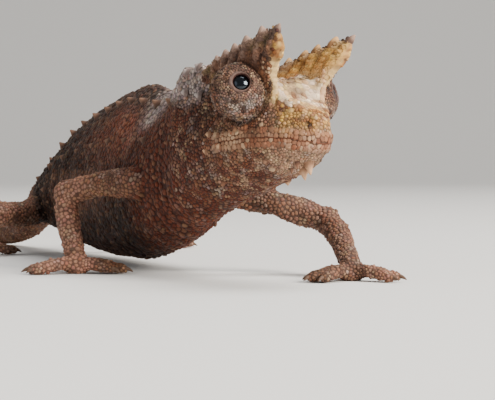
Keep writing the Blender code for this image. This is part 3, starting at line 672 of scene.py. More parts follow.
# A palette tone in linear light, by the screen's own curve.
def tone(name):
    share = np.array(palette[name]) / 255.0
    return np.where(share < 0.04045, share / 12.92, ((share + 0.055) / 1.055) ** 2.4)


# A tone laid over a colour by its share.
def blended(colour, name, share):
    share = np.clip(share, 0, 1)[:, None]
    return colour * (1 - share) + tone(name) * share


# One tone for a number of points.
def plain(name, count):
    return np.tile(tone(name), (count, 1))


# Layers of (tone, share), one over the other.
def painted(colour, layers):
    for name, share in layers:
        colour = blended(colour, name, share)
    return colour


# Share of a soft spot at each distance from its middle.
def spotShare(away, size):
    return (1 - ramp(away, size * 0.6, size * 1.3)) * 0.85


# Markings: palette tones mixed by ramps and bells of the head's and the body's coordinates,
# broken up by noise.
def markings(points):
    f, side, u = toHead(points).T
    out = np.abs(side)
    x, y, z = points.T
    patch = cloud(points, 2.2, 3.0) - 0.5
    fine = cloud(points, 0.55, 11.0) - 0.5
    speck = cloud(points, 0.3, 17.0)
    middle, top, low = trunkAt(y)[:3]
    height = np.clip((z - low) / (top - low), 0, 1)
    stray = np.abs(x - middle)
    limb = ramp(stray, 3.2, 4.4) * (f < -1.0) + ramp(y + 2 * patch, 26.5, 35.5)
    limb = limb + (1 - ramp(z, 0.2, 0.9))
    limb = np.maximum(limb, ramp(-f, 2.0, 4.0) * (z < 7) * ramp(stray, 2.9, 3.9))
    limb = np.where(f > -1.0, (z < 6.3) * 1.0, limb)
    onLimb = np.clip(limb, 0, 1)
    # Trunk, limbs and tail.
    colour = painted(plain("flankPurple", len(points)), (
        ("belly", 1 - ramp(height + 0.2 * patch, 0.2, 0.5)),
        ("flankRust", bell(y, 7.5, 6.5) * bell(height, 0.78, 0.26) * (1 + 0.8 * patch)),
        ("throatRed", (1 - ramp(y + 2 * patch, 0.5, 6.0)) * 0.9),
        # The top of the back: its own brown, made darker by painted shade.
        ("backBrownShade", ramp(height + 0.1 * patch, 0.78, 0.96) * 0.8),
        ("limb", limb),
        ("limbOchre", onLimb * ramp(patch + 0.6 * fine, 0.05, 0.5)),
        ("limbOchre", onLimb * (1 - ramp(z, 0.5, 1.6)) * 0.6),
    ))
    # Head.
    head = ramp(f + 0.7 * patch, -7.5, -4.0) * (z > 6.2)
    neck = bell(f + patch, -4.2, 1.8) * ramp(u, -4.0, -2.0) * (z > 6.2)
    face = ramp(f + 0.5 * patch, -4.5, -1.5) * (z > 6.2)
    chin = face * ramp(f + patch, 0.6, 2.4) * (1 - ramp(u, -3.7, -3.2))
    crown = ramp(u + 0.25 * (f - 2.4), -1.5, -0.7) * ramp(f, -4.2, -2.4)
    crown = crown * (1 - ramp(out, 1.9, 2.4))
    snout = ramp(f, 2.1, 2.8) * bell(u, -1.9, 0.75) * (z > 6)
    streak = np.column_stack([f * 0.6, side, u * 2.2])
    nape = ramp(-f - 0.3 * patch, 2.4, 5.0) * (1 - ramp(-f, 8.5, 11.5))
    nape = nape * ramp(u, 0.6, 1.4) * (z > 9)
    nape = np.maximum(nape, bell(y, 1.6, 1.8) * ramp(height + 0.3 * patch, 0.62, 0.86) * 0.8)
    nape = np.maximum(nape, (1 - ramp(y, -2.0, 0.5)) * ramp(z + patch, 11.2, 12.4) * (f < -4))
    colour = painted(colour, (
        ("throatRed", head),
        ("facePink", face * ramp(u + 0.4 * patch, -5.2, -3.2)),
        ("flankPurple", neck * 0.6),
        ("chinGrey", chin * 0.85),
        ("faceRust", face * spots(points, 0.35, 19.0, 0.62, 0.85) * 0.55),
        ("faceCream", face * ramp(speck + 0.5 * fine, 0.55, 0.95) * 0.65),
        ("foreheadPale", crown),
        ("foreheadPink", crown * ramp(patch + fine, -0.1, 0.35)),
        ("snoutYellow", crown * spots(points, 0.7, 43.0, 0.58, 0.8) * 0.8),
        ("hornOlive", crown * spots(points, 0.75, 44.0, 0.58, 0.8) * 0.45),
        ("foreheadWhite", crown * spots(points, 0.62, 45.0, 0.55, 0.75) * 0.7),
        ("foreheadShade", crown * spots(points, 0.50, 46.0, 0.62, 0.82) * 0.55),
        ("snoutYellow", np.clip(snout * 1.3, 0, 1) * (0.78 + 0.8 * fine)),
        ("ochreDeep", snout * spots(points, 0.33, 47.0, 0.55, 0.75) * 0.85),
        ("faceCream", snout * spots(points, 0.25, 48.0, 0.6, 0.8) * 0.6),
        ("plateBrown", snout * spots(streak, 0.34, 49.0, 0.60, 0.78) * 0.75),
        ("lipPink", bell(u, -3.15, 0.40) * ramp(f, -2.6, -1.6) * (z > 6) * 0.6),
        ("nape", nape * (0.88 + 0.45 * fine)),
    ))
    # Turrets: tan, with pits behind the eye, painted shade low at the rear and a grey part below.
    # The left (far) turret is darker all over, and the groove round each turret is dark: painted
    # shade too.
    outside = ramp(out, 2.1, 2.5)  # the top of the turret that rises beside the crown is pale
    pit = spots(points, 0.22, 53.0, 0.58, 0.74) * ramp(0.9 - f, 0.0, 0.9)
    for number in (-1, 1):
        reach, off = fromTurret(points, number)[::2]
        on = (1 - ramp(reach, 1.92, 2.05)) * outside
        under = (z - turretCentre(number)[2]) / turret["radius"]
        low = 1 - ramp(under + 0.5 * fine, -0.55, 0.05)
        ahead = low * ramp(f, -0.2, 0.5)
        colour = blended(colour, "turretTan", on)
        # Painted shade: the left turret, the far one, 14% darker.
        colour = colour * (1 - 0.14 * on * (number > 0))[:, None]
        colour = painted(colour, (
            ("faceCream", on * ramp(speck, 0.55, 0.9) * 0.4),
            ("faceDark", on * pit * 0.8),
            ("faceDark", on * turretWrinkles(points, off) * 0.6),
            # Painted shade low at the rear.
            ("lidDark", on * low * (1 - ramp(f, -0.1, 0.5)) * 0.45),
            ("turretGrey", on * ahead * ramp(speck, 0.35, 0.6) * 0.8),
            ("faceDark", on * ahead * ramp(0.5 - speck, 0.1, 0.3) * 0.65),
            # Painted shade in the groove round the turret.
            ("gap", bell(reach, 2.0, 0.13) * (0.6 + 0.35 * ramp(u, -0.6, 0.4)) * outside),
            ("faceRust", bell(reach, 2.26, 0.13) * 0.5 * (z > 6) * outside),
        ))
    # Mouth, spots, painted shade along the crease before the brow, and painted light on the outer
    # parts of the limbs.
    above = u - mouthHeight(f)
    colour = painted(colour, (
        ("faceRust", bell(above, -0.28, 0.20) * ramp(f, -2.6, -1.6) * (z > 6) * 0.62),
        ("lipLine", bell(above, 0.0, 0.07) * ramp(f, -2.9, -2.2) * (z > 6)),
    ))
    for forward, aside, high, size, name in faceSpots:
        away = np.sqrt((f - forward) ** 2 + (out - aside) ** 2 + (u - high) ** 2)
        colour = blended(colour, name, spotShare(away, size) * (z > 6))
    # Painted shade: a dark line along the crease before the brow.
    creaseShade = bell(out, 2.32, 0.08) * bell(u, -0.1, 0.8) * ramp(f, 1.4, 1.7)
    creaseShade = creaseShade * (1 - ramp(f, 2.3, 2.5))
    # Painted light: paler outer parts of the limbs, away from the trunk.
    outer = ramp(stray, 5.2, 6.4) * (z < 7) * (f < -1) + ramp(stray, 5.2, 6.4) * (z < 5)
    colour = painted(colour, (("gap", creaseShade * 0.9), ("limbPaintedLight", outer * 0.6)))
    # The far arm stands in the shade.
    colour *= 1 - 0.50 * (ramp(x, 3.2, 6.2) * (y < 0) * (z < 7.5) * (f < 1))[:, None]
    shade = 1 + (0.35 * patch + 0.45 * fine)
    return np.clip(colour * shade[:, None], 0.002, 0.9)


# Scales

# Pairs (i, j) of points that lie closer than reach[i]: points are sorted into cubes as wide as
# the largest reach, and each cube is set against its 27 neighbours.
def nearPairs(points, reach):
    cell = np.floor(points / reach.max()).astype(np.int64)
    cell -= cell.min(axis=0) - 1
    size = cell.max(axis=0) + 2
    key = (cell[:, 0] * size[1] + cell[:, 1]) * size[2] + cell[:, 2]
    order = np.argsort(key, kind="stable")
    ranked = key[order]
    first, second = [], []
    for step in np.ndindex(3, 3, 3):
        dx, dy, dz = np.array(step) - 1
        other = key + (dx * size[1] + dy) * size[2] + dz
        low = np.searchsorted(ranked, other, "left")
        count = np.searchsorted(ranked, other, "right") - low
        i = np.repeat(np.arange(len(points)), count)
        skip = np.repeat(np.cumsum(count) - count, count)
        j = order[np.repeat(low, count) + np.arange(len(i)) - skip]
        far = lengths(points[i] - points[j])
        keep = (i != j) & (far < reach[i])
        first.append(i[keep])
        second.append(j[keep])
    return np.concatenate(first), np.concatenate(second)


# Number of the point nearest to each place: squared distances less the place's own square,
# in blocks.
def nearestOf(places, points):
    square = (points**2).sum(axis=1)
    blocks = np.array_split(places, max(1, len(places) // 400))
    return np.concatenate([(square - 2 * block @ points.T).argmin(axis=1) for block in blocks])


crowd = 7.0  # random places tried for each square of the spacing


# Even scatter over a skin: random places weighted by area, then thinned so that no two stay
# closer than their own spacing. Each pass keeps every place that ranks first among its
# remaining neighbours.
def scatter(points, normals, quads, spacingAt, seed):
    rng = np.random.default_rng(seed)
    tris = np.concatenate([quads[:, (0, 1, 2)], quads[:, (0, 2, 3)]])
    a, b, c = (points[tris[:, i]] for i in range(3))
    middle = (a + b + c) / 3
    spacing = spacingAt(middle, unit(normals[tris].mean(axis=1)))
    area = 0.5 * lengths(np.cross(b - a, c - a))
    weight = np.where(spacing > 0, area / np.maximum(spacing, 0.05) ** 2, 0.0)
    pick = rng.choice(len(tris), int(weight.sum() * crowd), p=weight / weight.sum())
    s, t = rng.random((2, len(pick)))
    s, t = np.where(s + t > 1, 1 - s, s), np.where(s + t > 1, 1 - t, t)
    share = np.stack([1 - s - t, s, t], axis=1)[:, :, None]
    place = (points[tris[pick]] * share).sum(axis=1)
    facing = unit((normals[tris[pick]] * share).sum(axis=1))
    reach = spacing[pick] * rng.uniform(0.8, 1.25, len(pick))
    i, j = nearPairs(place, reach)
    alive, chosen = np.ones(len(place), bool), np.zeros(len(place), bool)
    rank = np.arange(len(place))
    while alive.any():
        ahead, behind = np.full((2, len(place)), len(place))
        np.minimum.at(ahead, i, j)
        np.minimum.at(behind, j, i)
        ready = alive & (rank < ahead) & (rank < behind)
        chosen |= ready
        alive &= ~ready
        alive[j[ready[i]]] = False
        alive[i[ready[j]]] = False
        keep = alive[i] & alive[j]
        i, j = i[keep], j[keep]
    return place[chosen], facing[chosen], reach[chosen]


# Two directions across each normal.
def tangents(normals):
    spare = np.where(np.abs(normals[:, 2:]) > 0.8, (1.0, 0.0, 0.0), (0.0, 0.0, 1.0))
    across = unit(np.cross(spare, normals))
    return across, np.cross(normals, across)


# Outline of each scale: the nearest half-way line to any neighbour, in a number of directions
# round it, so that neighbours meet as the cells of a mosaic. It stays within a limit.
def mosaic(place, facing, spacing, sides, gap=0.97, limit=0.92):
    across, over = tangents(facing)
    i, j = nearPairs(place, spacing * 2.3)
    step = place[j] - place[i]
    flat = np.stack([(step * across[i]).sum(axis=1), (step * over[i]).sum(axis=1)], axis=1)
    turn = turns(sides)
    way = np.stack([np.cos(turn), np.sin(turn)])
    toward = flat @ way
    half = (flat**2).sum(axis=1)[:, None] / 2
    cut = np.where(toward > 0.02, half / np.maximum(toward, 1e-6), 9.0)
    radii = np.tile(spacing[:, None] * limit, (1, sides))
    np.minimum.at(radii, i, cut)
    return radii * gap


# Unwrap of the skin's own shape: angle round the head, the trunk or a limb across, and the
# distance along it upwards, each in its own corner of the unit square.
def unwrapped(points):
    f, side, u = toHead(points).T
    x, y, z = points.T
    turn = np.arctan2(side, u + 2.2) / (2 * math.pi) + 0.5
    run = np.clip((f + 9) / 14.5, 0, 1)
    headPlace = np.column_stack([0.02 + 0.45 * turn, 0.53 + 0.44 * run])
    middle, top, low = trunkAt(y)[:3]
    turn = np.arctan2(x - middle, z - (top + low) / 2) / (2 * math.pi) + 0.5
    run = np.clip((y + 8) / 65, 0, 1)
    trunkPlace = np.column_stack([0.52 + 0.45 * turn, 0.02 + 0.95 * run])
    place = np.where((f > -7.6)[:, None], headPlace, trunkPlace)
    nearest = np.full(len(points), 1.0)
    for number, (upper, lower) in enumerate(limbs.values()):
        path = smoothPath(np.array([*upper[1:], *lower[1:]]), 40)[:, :3]
        away = points[:, None] - path[None]
        far = lengths(away)
        best = far.argmin(axis=1)
        off = away[np.arange(len(points)), best]
        far = far.min(axis=1)
        turn = np.arctan2(off[:, 0] + off[:, 2], off[:, 1] - off[:, 2]) / (2 * math.pi) + 0.5
        spot = np.column_stack([
            0.02 + 0.115 * number + 0.095 * turn,
            0.03 + 0.45 * np.clip((best / 39 + far / 12), 0, 1.2) / 1.2,
        ])
        closer = (far < 1.4) | ((z < 1.3) & (far < 5.5))
        closer &= far < nearest * 6
        place = np.where(closer[:, None], spot, place)
    return place


# Profiles of a scale: share of the outline and share of the height.
flatProfile = np.array(((1.0, -0.55), (0.97, 0.10), (0.80, 0.72), (0.42, 0.97), (0.0, 1.0)))
plainProfile = np.array(((1.0, -0.55), (0.91, 0.38), (0.52, 0.88), (0.0, 1.0)))
spineProfile = np.array(((1.12, -0.55), (0.98, 0.0), (0.74, 0.22), (0.46, 0.52), (0.22, 0.84),
                         (0.0, 1.0)))
knobProfile = np.array(((1.10, -0.55), (1.02, 0.0), (0.86, 0.30), (0.60, 0.62), (0.30, 0.90),
                        (0.0, 1.0)))


# A coat of scales: each is a stack of copies of its own outline, drawn in and lifted by its
# profile. Its top moves by the lean, if any.
def scaleCoat(name, place, facing, radii, height, profile, tint, material, lean=None):
    count, sides = radii.shape
    levels = len(profile)
    across, over = tangents(facing)
    turn = turns(sides)
    ring = across[:, None] * np.cos(turn)[:, None] + over[:, None] * np.sin(turn)[:, None]
    spread = ring * radii[..., None]
    points = np.empty((count, levels, sides, 3))
    points[:] = place[:, None, None] + spread[:, None] * profile[None, :, :1, None]
    points += (facing * height[:, None])[:, None, None] * profile[None, :, 1:, None]
    if lean is not None:
        points += lean[:, None, None] * np.clip(profile[None, :, 1:, None], 0, 1) ** 2
    rings = points[:, :-1].reshape(count, -1, 3)
    apex = points[:, -1].mean(axis=1, keepdims=True)
    full = np.concatenate([rings, apex], axis=1)
    each = full.shape[1]
    quads = ringFaces(levels - 1, sides)
    j = np.arange(sides)
    last = (levels - 2) * sides
    caps = np.stack([last + j, last + (j + 1) % sides, np.full(sides, each - 1)], axis=1)
    start = (np.arange(count) * each)[:, None, None]
    # Height mark of each ring, foot to top: it places the painted shade and the paler top.
    rise = np.concatenate([np.repeat(np.clip(profile[:-1, 1], 0, 1), sides), [1.0]])
    piece = dressedPiece(
        name, full.reshape(-1, 3),
        [(quads[None] + start).reshape(-1, 4), (caps[None] + start).reshape(-1, 3)],
        np.repeat(tint, each, axis=0), np.tile(rise, count), material,
    )
    # Unwrap: one small patch for each scale, at its root's place.
    root = unwrapped(place)
    spot = np.zeros((each, 2))
    shares = np.repeat(0.15 + 0.85 * profile[:-1, 0], sides)
    spot[:-1] = np.stack([np.cos(np.tile(turn, levels - 1)), np.sin(np.tile(turn, levels - 1))], 1)
    spot[:-1] *= shares[:, None]
    patches = (root[:, None] + spot[None] * 0.0015).reshape(-1, 2)
    loops = np.empty(len(piece.data.loops), np.int32)
    piece.data.loops.foreach_get("vertex_index", loops)
    layer = piece.data.uv_layers.new(name="OFBake")
    layer.data.foreach_set("uv", patches[loops].astype(np.float32).reshape(-1))


# Materials

# A node group with named sockets; each input is (name, kind, start value).
def newGroup(name, inputs, outputs):
    group = bpy.data.node_groups.new(name, "ShaderNodeTree")
    add = group.interface.new_socket
    for label, kind, value in inputs:
        socket = add(name=label, in_out="INPUT", socket_type="NodeSocket" + kind)
        if value is not None:
            socket.default_value = value
    for label, kind in outputs:
        add(name=label, in_out="OUTPUT", socket_type="NodeSocket" + kind)
    return group, group.nodes.new("NodeGroupInput"), group.nodes.new("NodeGroupOutput")


# Links each named socket to another one, or gives it a value.
def fill(tree, sockets, values):
    for key, value in values.items():
        if isinstance(value, bpy.types.NodeSocket):
            tree.links.new(value, sockets[key])
        else:
            sockets[key].default_value = value


# A shader node with its settings and inputs. Its outputs are given back.
def addNode(tree, kind, values=None, **settings):
    node = tree.nodes.new("ShaderNode" + kind)
    for label, value in settings.items():
        setattr(node, label, value)
    fill(tree, node.inputs, values or {})
    return node.outputs


# Hide: mottled colour, painted shade between the scales, a paler top that is partly painted
# highlight, with grain for the bump. Height runs from the foot of a scale to its top.
def hideGroup():
    group, source, sink = newGroup(
        "hide",
        [("Tint", "Color", (0.5, 0.4, 0.3, 1)), ("Height", "Float", 1.0),
         ("Coordinates", "Vector", None), ("Mottle", "Float", 0.35), ("Gap Shade", "Float", 0.75),
         ("Pale Top Highlight", "Float", 0.25)],
        [("Color", "Color"), ("Roughness", "Float"), ("Grain", "Float")],
    )
    get = source.outputs

    def noise(scale, detail, roughness):
        values = {"Vector": get["Coordinates"], "Scale": scale, "Detail": detail}
        return addNode(group, "TexNoise", {**values, "Roughness": roughness})["Fac"]

    def maths(operation, *values):
        return addNode(group, "Math", dict(enumerate(values)), operation=operation)[0]

    def mapped(value, start, end, low, high, how="SMOOTHSTEP"):
        limits = {"From Min": start, "From Max": end, "To Min": low, "To Max": high}
        return addNode(group, "MapRange", {"Value": value, **limits}, interpolation_type=how)[0]

    def mixed(how, share, first, second):
        values = {"Factor": share, 6: first, 7: second}
        return addNode(group, "Mix", values, data_type="RGBA", blend_type=how)[2]

    coarse, finer = noise(3200.0, 3.0, 0.6), noise(14000.0, 4.0, 0.65)
    both = maths("ADD", coarse, finer)
    mottled = mixed("MULTIPLY", get["Mottle"], get["Tint"], maths("MULTIPLY_ADD", both, 1.6, -0.6))
    # Painted shade: the colour darkens towards the foot of each scale.
    depth = maths("MULTIPLY", mapped(get["Height"], 0.05, 0.62, 1.0, 0.0), get["Gap Shade"])
    dark = mixed("MULTIPLY", depth, mottled, (0.16, 0.09, 0.07, 1))
    # Paler towards the top of each scale: partly the scales' own colour, partly painted highlight.
    lift = maths("MULTIPLY", mapped(get["Height"], 0.80, 1.0, 0.0, 1.0), get["Pale Top Highlight"])
    rough = mapped(finer, 0.0, 1.0, 0.52, 0.84, "LINEAR")
    pale = mixed("SCREEN", lift, dark, dark)
    fill(group, sink.inputs, {"Color": pale, "Roughness": rough, "Grain": both})
    return group


hide = hideGroup()


# A material with its tree and its shader's inputs.
def newMaterial(name):
    material = bpy.data.materials.new(name)
    material.use_nodes = True
    tree = material.node_tree
    return material, tree, tree.nodes["Principled BSDF"].inputs


# Hide over a piece: tint and height from its points, and the grain as bump. The height places
# the painted shade and the paler top.
def hideMaterial(name, mottle, gap, paleTopHighlight, grain, specular=0.5):
    material, tree, shader = newMaterial(name)
    finish = addNode(tree, "Group", {
        "Tint": addNode(tree, "Attribute", attribute_name="tint")["Color"],
        "Height": addNode(tree, "Attribute", attribute_name="rise")["Fac"],
        "Coordinates": addNode(tree, "TexCoord")["Object"],
        "Mottle": mottle, "Gap Shade": gap, "Pale Top Highlight": paleTopHighlight,
    }, node_tree=hide)
    bump = {"Height": finish["Grain"], "Strength": 0.5, "Distance": grain * mm}
    fill(tree, shader, {
        "Base Color": finish["Color"], "Roughness": finish["Roughness"],
        "Normal": addNode(tree, "Bump", bump)["Normal"], "Specular IOR Level": specular,
    })
    return material


# Mottle, painted shade at the foot of a scale, paler top (partly painted highlight), grain in
# millimetres and specular.
scaleHide = hideMaterial("scaleHide", 0.55, 0.62, 0.16, 0.035, 0.22)
faceHide = hideMaterial("faceHide", 0.60, 0.50, 0.10, 0.035, 0.3)
underHide = hideMaterial("underHide", 0.40, 0.95, 0.0, 0.04, 0.3)
hornHide = hideMaterial("hornHide", 0.40, 0.75, 0.15, 0.03, 0.35)

# The skin itself is darkened as painted shade, except on the smooth crown, because it shows only
# between the scales.
skinPoints, skinQuads = fusedSkin()
skinPoints, skinNormals = foldedSkin(skinPoints, skinQuads)
headPlaces = toHead(skinPoints)
smooth = ramp(headPlaces[:, 0], -3.5, -2.0) * ramp(headPlaces[:, 2], -1.6, -0.9)
smooth *= 1 - ramp(np.abs(headPlaces[:, 1]), 1.9, 2.2)
shadedSkinTint = markings(skinPoints) * (0.42 + 0.45 * smooth)[:, None]
skinPiece = dressedPiece("skin", skinPoints, [skinQuads], shadedSkinTint, 0.5, underHide)
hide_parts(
    "head", "lower_jaw", "neck", "torso", "tail_base", "tail_middle", "tail_tip",
    "eye_turret_left", "eye_turret_right", "upper_arm_left", "forearm_left", "hand_left",
    "upper_arm_right", "forearm_right", "hand_right", "thigh_left", "shin_left", "foot_left",
    "thigh_right", "shin_right", "foot_right",
)

# Scale fields: the spacing of scales at each point, and 0 where a coat has none.

scales = {
    "turretNear": 0.105,
    "turretFar": 0.14,
    "snout": 0.135,
    "face": 0.128,
    "chin": 0.115,
    "throat": 0.165,
    "trunk": 0.235,
    "limb": 0.19,
    "toe": 0.165,
    "tail": 0.22,
    "crest": 0.17,
    "lip": 0.262,
    "seam": 0.03,
    "headBack": -7.2,  # how far forward the head's coat begins
    "tailFrom": 31.2,
    "turretEdge": 1.86,
}
quickGrow = 1.0
seeds = {
    "jitter": 100,  # added to a coat's own seed for its second generator
    "lips": 41,
    "spines": 51,
    "teeth": 53,
    "beads": 55,
    "crest": 60,  # this one and the next two have the side added
    "crestShade": 64,
    "plates": 90,
    "tubercles": (7, 82),
}


# Distance from the nearer turret's centre, and how far off its gaze.
def turretShare(points):
    near, off = np.full((2, len(points)), 9.0)
    for side in (-1, 1):
        reach, deep, wide = fromTurret(points, side)
        wide = np.where(deep > 0, wide, 3.0)
        off = np.where(reach < near, wide, off)
        near = np.minimum(near, reach)
    return near, off


# Turrets: finest beside the eye, and none inside the lid.
def turretSpacing(points, normals):
    near, off = turretShare(points)
    first, last = scales["turretNear"], scales["turretFar"]
    size = first + (last - first) * ramp(off, 0.8, 2.0)
    return np.where((near < scales["turretEdge"]) & (off > 0.71), size * quickGrow, 0.0)


# Head: the throat's spacing, blended to the face's, the snout's and the chin's.
def headSpacing(points, normals):
    f, side, u = toHead(points).T
    y, z = points[:, 1], points[:, 2]
    near = turretShare(points)[0]
    size = np.full(len(points), scales["throat"])
    chin = ramp(f, -0.5, 1.5) * (1 - ramp(u, -3.9, -3.4))
    for name, share in (("face", ramp(f, -5, -2)), ("snout", ramp(f, 1.6, 2.6)), ("chin", chin)):
        size = size + (scales[name] - size) * share
    size = size * (0.72 + 0.75 * cloud(points, 0.8, 23.0))
    size = size * (0.75 + 0.25 * ramp(near, 1.9, 2.5))
    crown = ramp(f, -0.5, 0.8) * ramp(u, -1.3, -0.6) * (1 - ramp(np.abs(side), 1.7, 2.0))
    size = size * (1 + 0.7 * crown)
    lip = (np.abs(u - mouthHeight(f)) < 0.36) & (f > -2.5)
    keep = (f > scales["headBack"]) & (near > scales["turretEdge"]) & ~lip
    keep &= (y < -1.5) & (z > 3.0) & (z > 4.6 - 0.25 * f)
    return np.where(keep, size * quickGrow, 0.0)


# True behind the head, before the tail and within the trunk's half width.
def onTrunk(points):
    f, y = toHead(points)[:, 0], points[:, 1]
    middle, wide = trunkAt(y)[[0, 3]]
    near = np.abs(points[:, 0] - middle) < wide + 0.22
    return (f <= scales["headBack"]) & (y < scales["tailFrom"]) & near


# Trunk: one spacing, varied by noise.
def trunkSpacing(points, normals):
    size = scales["trunk"] * (0.70 + 0.85 * cloud(points, 1.2, 29.0))
    return np.where(onTrunk(points) & (points[:, 2] > 0.55), size * quickGrow, 0.0)


# The head, the trunk and the limbs have two coats each, parted at a distance back.
def parted(spacingAt, low, high):
    def spacing(points, normals):
        inside = (points[:, 1] >= low) & (points[:, 1] < high)
        return np.where(inside, spacingAt(points, normals), 0.0)

    return spacing


# Limbs and tail: all that no other coat takes.
def limbSpacing(points, normals):
    f, y, z = toHead(points)[:, 0], points[:, 1], points[:, 2]
    size = np.where(y > scales["tailFrom"], scales["tail"], scales["limb"])
    size = size * (1 - 0.35 * ramp(y, 40, 54))
    size = size + (scales["toe"] - size) * (1 - ramp(z, 0.7, 1.3))
    size = size * (0.75 + 0.6 * cloud(points, 0.9, 31.0))
    keep = ~onTrunk(points) & (headSpacing(points, normals) <= 0) & (z > 0.05)
    keep &= (turretShare(points)[0] > 1.95) & ((f < scales["headBack"]) | (z < 4.6 - 0.25 * f))
    return np.where(keep, size * quickGrow, 0.0)


# Uneven outlines about one mean radius each.
def jittered(rng, wide, sides, amount):
    return wide[:, None] * (1 + amount * (rng.random((len(wide), sides)) - 0.5))


# Tones that patches of the scales take.
coatTones = ("faceCream", "faceRust", "turretGrey", "limbOchre", "facePink")
coat = {
    "rim": (0.86, 1.04),
    "tallShare": 0.08,  # this share of the scales is taller
    "tallGrow": 1.5,
    "slant": 0.18,
    "headSpread": 0.24,  # of the tone, from scale to scale
    "bodySpread": 0.11,
    "hueSpread": 0.14,
}


# One coat: scattered places, mosaic outlines with a little jitter, domes higher where the
# scale is larger and leaning a little at random.
def coatOf(piece, spacingAt, seed, sides, profile, lift, slot, vary=0.4, mixing=0.6):
    place, facing, reach = scatter(skinPoints, skinNormals, skinQuads, spacingAt, seed)
    radii = mosaic(place, facing, reach, sides)
    rng = np.random.default_rng(seed + seeds["jitter"])
    count = len(place)
    radii = radii * rng.uniform(*coat["rim"], radii.shape)
    wide = radii.mean(axis=1)
    height = wide * lift * rng.uniform(1 - vary, 1 + vary, count)
    height = height * np.where(rng.random(count) < coat["tallShare"], coat["tallGrow"], 1.0)
    f, across, u = toHead(place).T
    smooth = ramp(f, -3.5, -2.0) * ramp(u, -1.7, -0.9) * (1 - ramp(np.abs(across), 1.9, 2.3))
    snout = 0.8 * ramp(f, 1.9, 2.7) * bell(u, -1.7, 0.8)
    height = height * (1 - 0.65 * smooth) * (1 - 0.45 * snout)
    slant = rng.normal(0, coat["slant"], (count, 3)) * wide[:, None]
    tint = markings(place)
    for number, name in enumerate(coatTones):
        share = spots(place, 0.42, 51.0 + 3 * number, 0.60, 0.76) * rng.uniform(0.2, 1.0, count)
        tint = blended(tint, name, share * mixing * (1 - 0.8 * smooth) * (1 - 0.7 * snout))
    spread = coat["headSpread" if slot == "head_skin" else "bodySpread"]
    tint *= rng.uniform(1 - spread, 1 + spread, (count, 1))
    tint *= 1 + coat["hueSpread"] * (rng.random((count, 3)) - 0.5)
    dark = spots(place, 0.21, 57.0, 0.72, 0.86) * (1 - smooth) * min(1.0, mixing * 2)
    tint = blended(tint, "faceDark", dark * rng.uniform(0.5, 0.95, count))
    material = faceHide if slot == "head_skin" else scaleHide
    scaleCoat(piece, place, facing, radii, height, profile, np.clip(tint, 0, 0.9), material,
              slant)


coatOf("turretScales", turretSpacing, 1, 8, flatProfile, 0.42, "head_skin", 0.40, 0.5)
for word, low, high, seed in (("front", -40, -11.6, 2), ("rear", -11.6, 40, 8)):
    coatOf("headScales." + word, parted(headSpacing, low, high), seed, 8, plainProfile, 0.36,
           "head_skin")
for word, low, high, seed in (("front", -9, 12, 3), ("rear", 12, 40, 5)):
    coatOf("trunkScales." + word, parted(trunkSpacing, low, high), seed, 7, flatProfile, 0.27,
           "body_skin", 0.3, 0.16)
for word, low, high, seed in (("front", -20, 15, 4), ("rear", 15, 60, 6)):
    coatOf("limbScales." + word, parted(limbSpacing, low, high), seed, 7, plainProfile, 0.30,
           "limb_skin", 0.3, 0.4)

# Lip scales: rows along the mouth at set heights from its line, laid on the skin.
lipRows = ((0.17, 0.0), (0.42, 0.5), (-0.15, 0.3), (-0.38, 0.8))  # height above the mouth, offset


# Nearest point of the skin to each place, with the skin's direction there.
def onSkin(places):
    found = nearestOf(places, skinPoints)
    return skinPoints[found], skinNormals[found]


# Rows of larger scales on both lips: uneven steps along each row, laid on the skin.
def lipScales():
    places, sizes = [], []
    for rise, offset in lipRows:
        line = lipPath(rise, inset=-0.12, count=400)[:, :3]
        full = runOf(line)[-1]
        step = scales["lip"] * quickGrow * (1.0 if abs(rise) < 0.3 else 1.12)
        # Steps vary, and grow towards the corners of the mouth.
        share = np.linspace(-1, 1, int(full / step))
        order = np.arange(len(share))
        marks = full * 0.5 * (1 + share * (0.86 + 0.14 * np.abs(share)))
        marks = marks + step * (0.35 * np.sin(7.3 * order + 9 * offset) + offset)
        spot = placesAt(line, marks)
        spot[:, 2] += 0.035 * np.sin(5.1 * order + 20 * offset)
        places.append(spot)
        sizes.append(np.full(len(spot), step))
    place, facing = onSkin(toBody(np.concatenate(places)))
    radii = mosaic(place, facing, np.concatenate(sizes), 8, gap=1.03, limit=1.0)
    rng = np.random.default_rng(seeds["lips"])
    radii = radii * rng.uniform(0.90, 1.05, radii.shape)
    count = len(place)
    tint = markings(place)
    for number, name in enumerate(("faceCream", "faceRust", "facePink", "chinGrey")):
        share = (rng.integers(0, 8, count) == number) * rng.uniform(0.3, 0.8, count)
        tint = blended(tint, name, share)
    tint = tint * rng.uniform(0.78, 1.16, (count, 1))
    height = radii.mean(axis=1) * rng.uniform(0.10, 0.26, count)
    tint = blended(tint, "faceCream", bell(toHead(place)[:, 0], -0.9, 0.8) * 0.5)
    scaleCoat("lipScales", place, facing, radii, height, flatProfile, tint, faceHide)


lipScales()


# Seam of the mouth: a thin bar laid on the skin between the lips.
def mouthSeam():
    line, out = onSkin(toBody(lipPath(0.0, inset=0.0, count=160)[6:-6, :3]))
    line = line + out * 0.02
    line[1:-1] = (line[:-2] + line[1:-1] + line[2:]) / 3
    place, quads = barStack(np.column_stack([line, np.full(len(line), scales["seam"])]), 8)
    tint = blended(plain("mouthSeam", len(place)), "lipLine", cloud(place, 0.5, 27.0) * 0.8)
    dressedPiece("mouthSeam", place, [quads], tint, 0.8, faceHide)


mouthSeam()

# Crests and horns

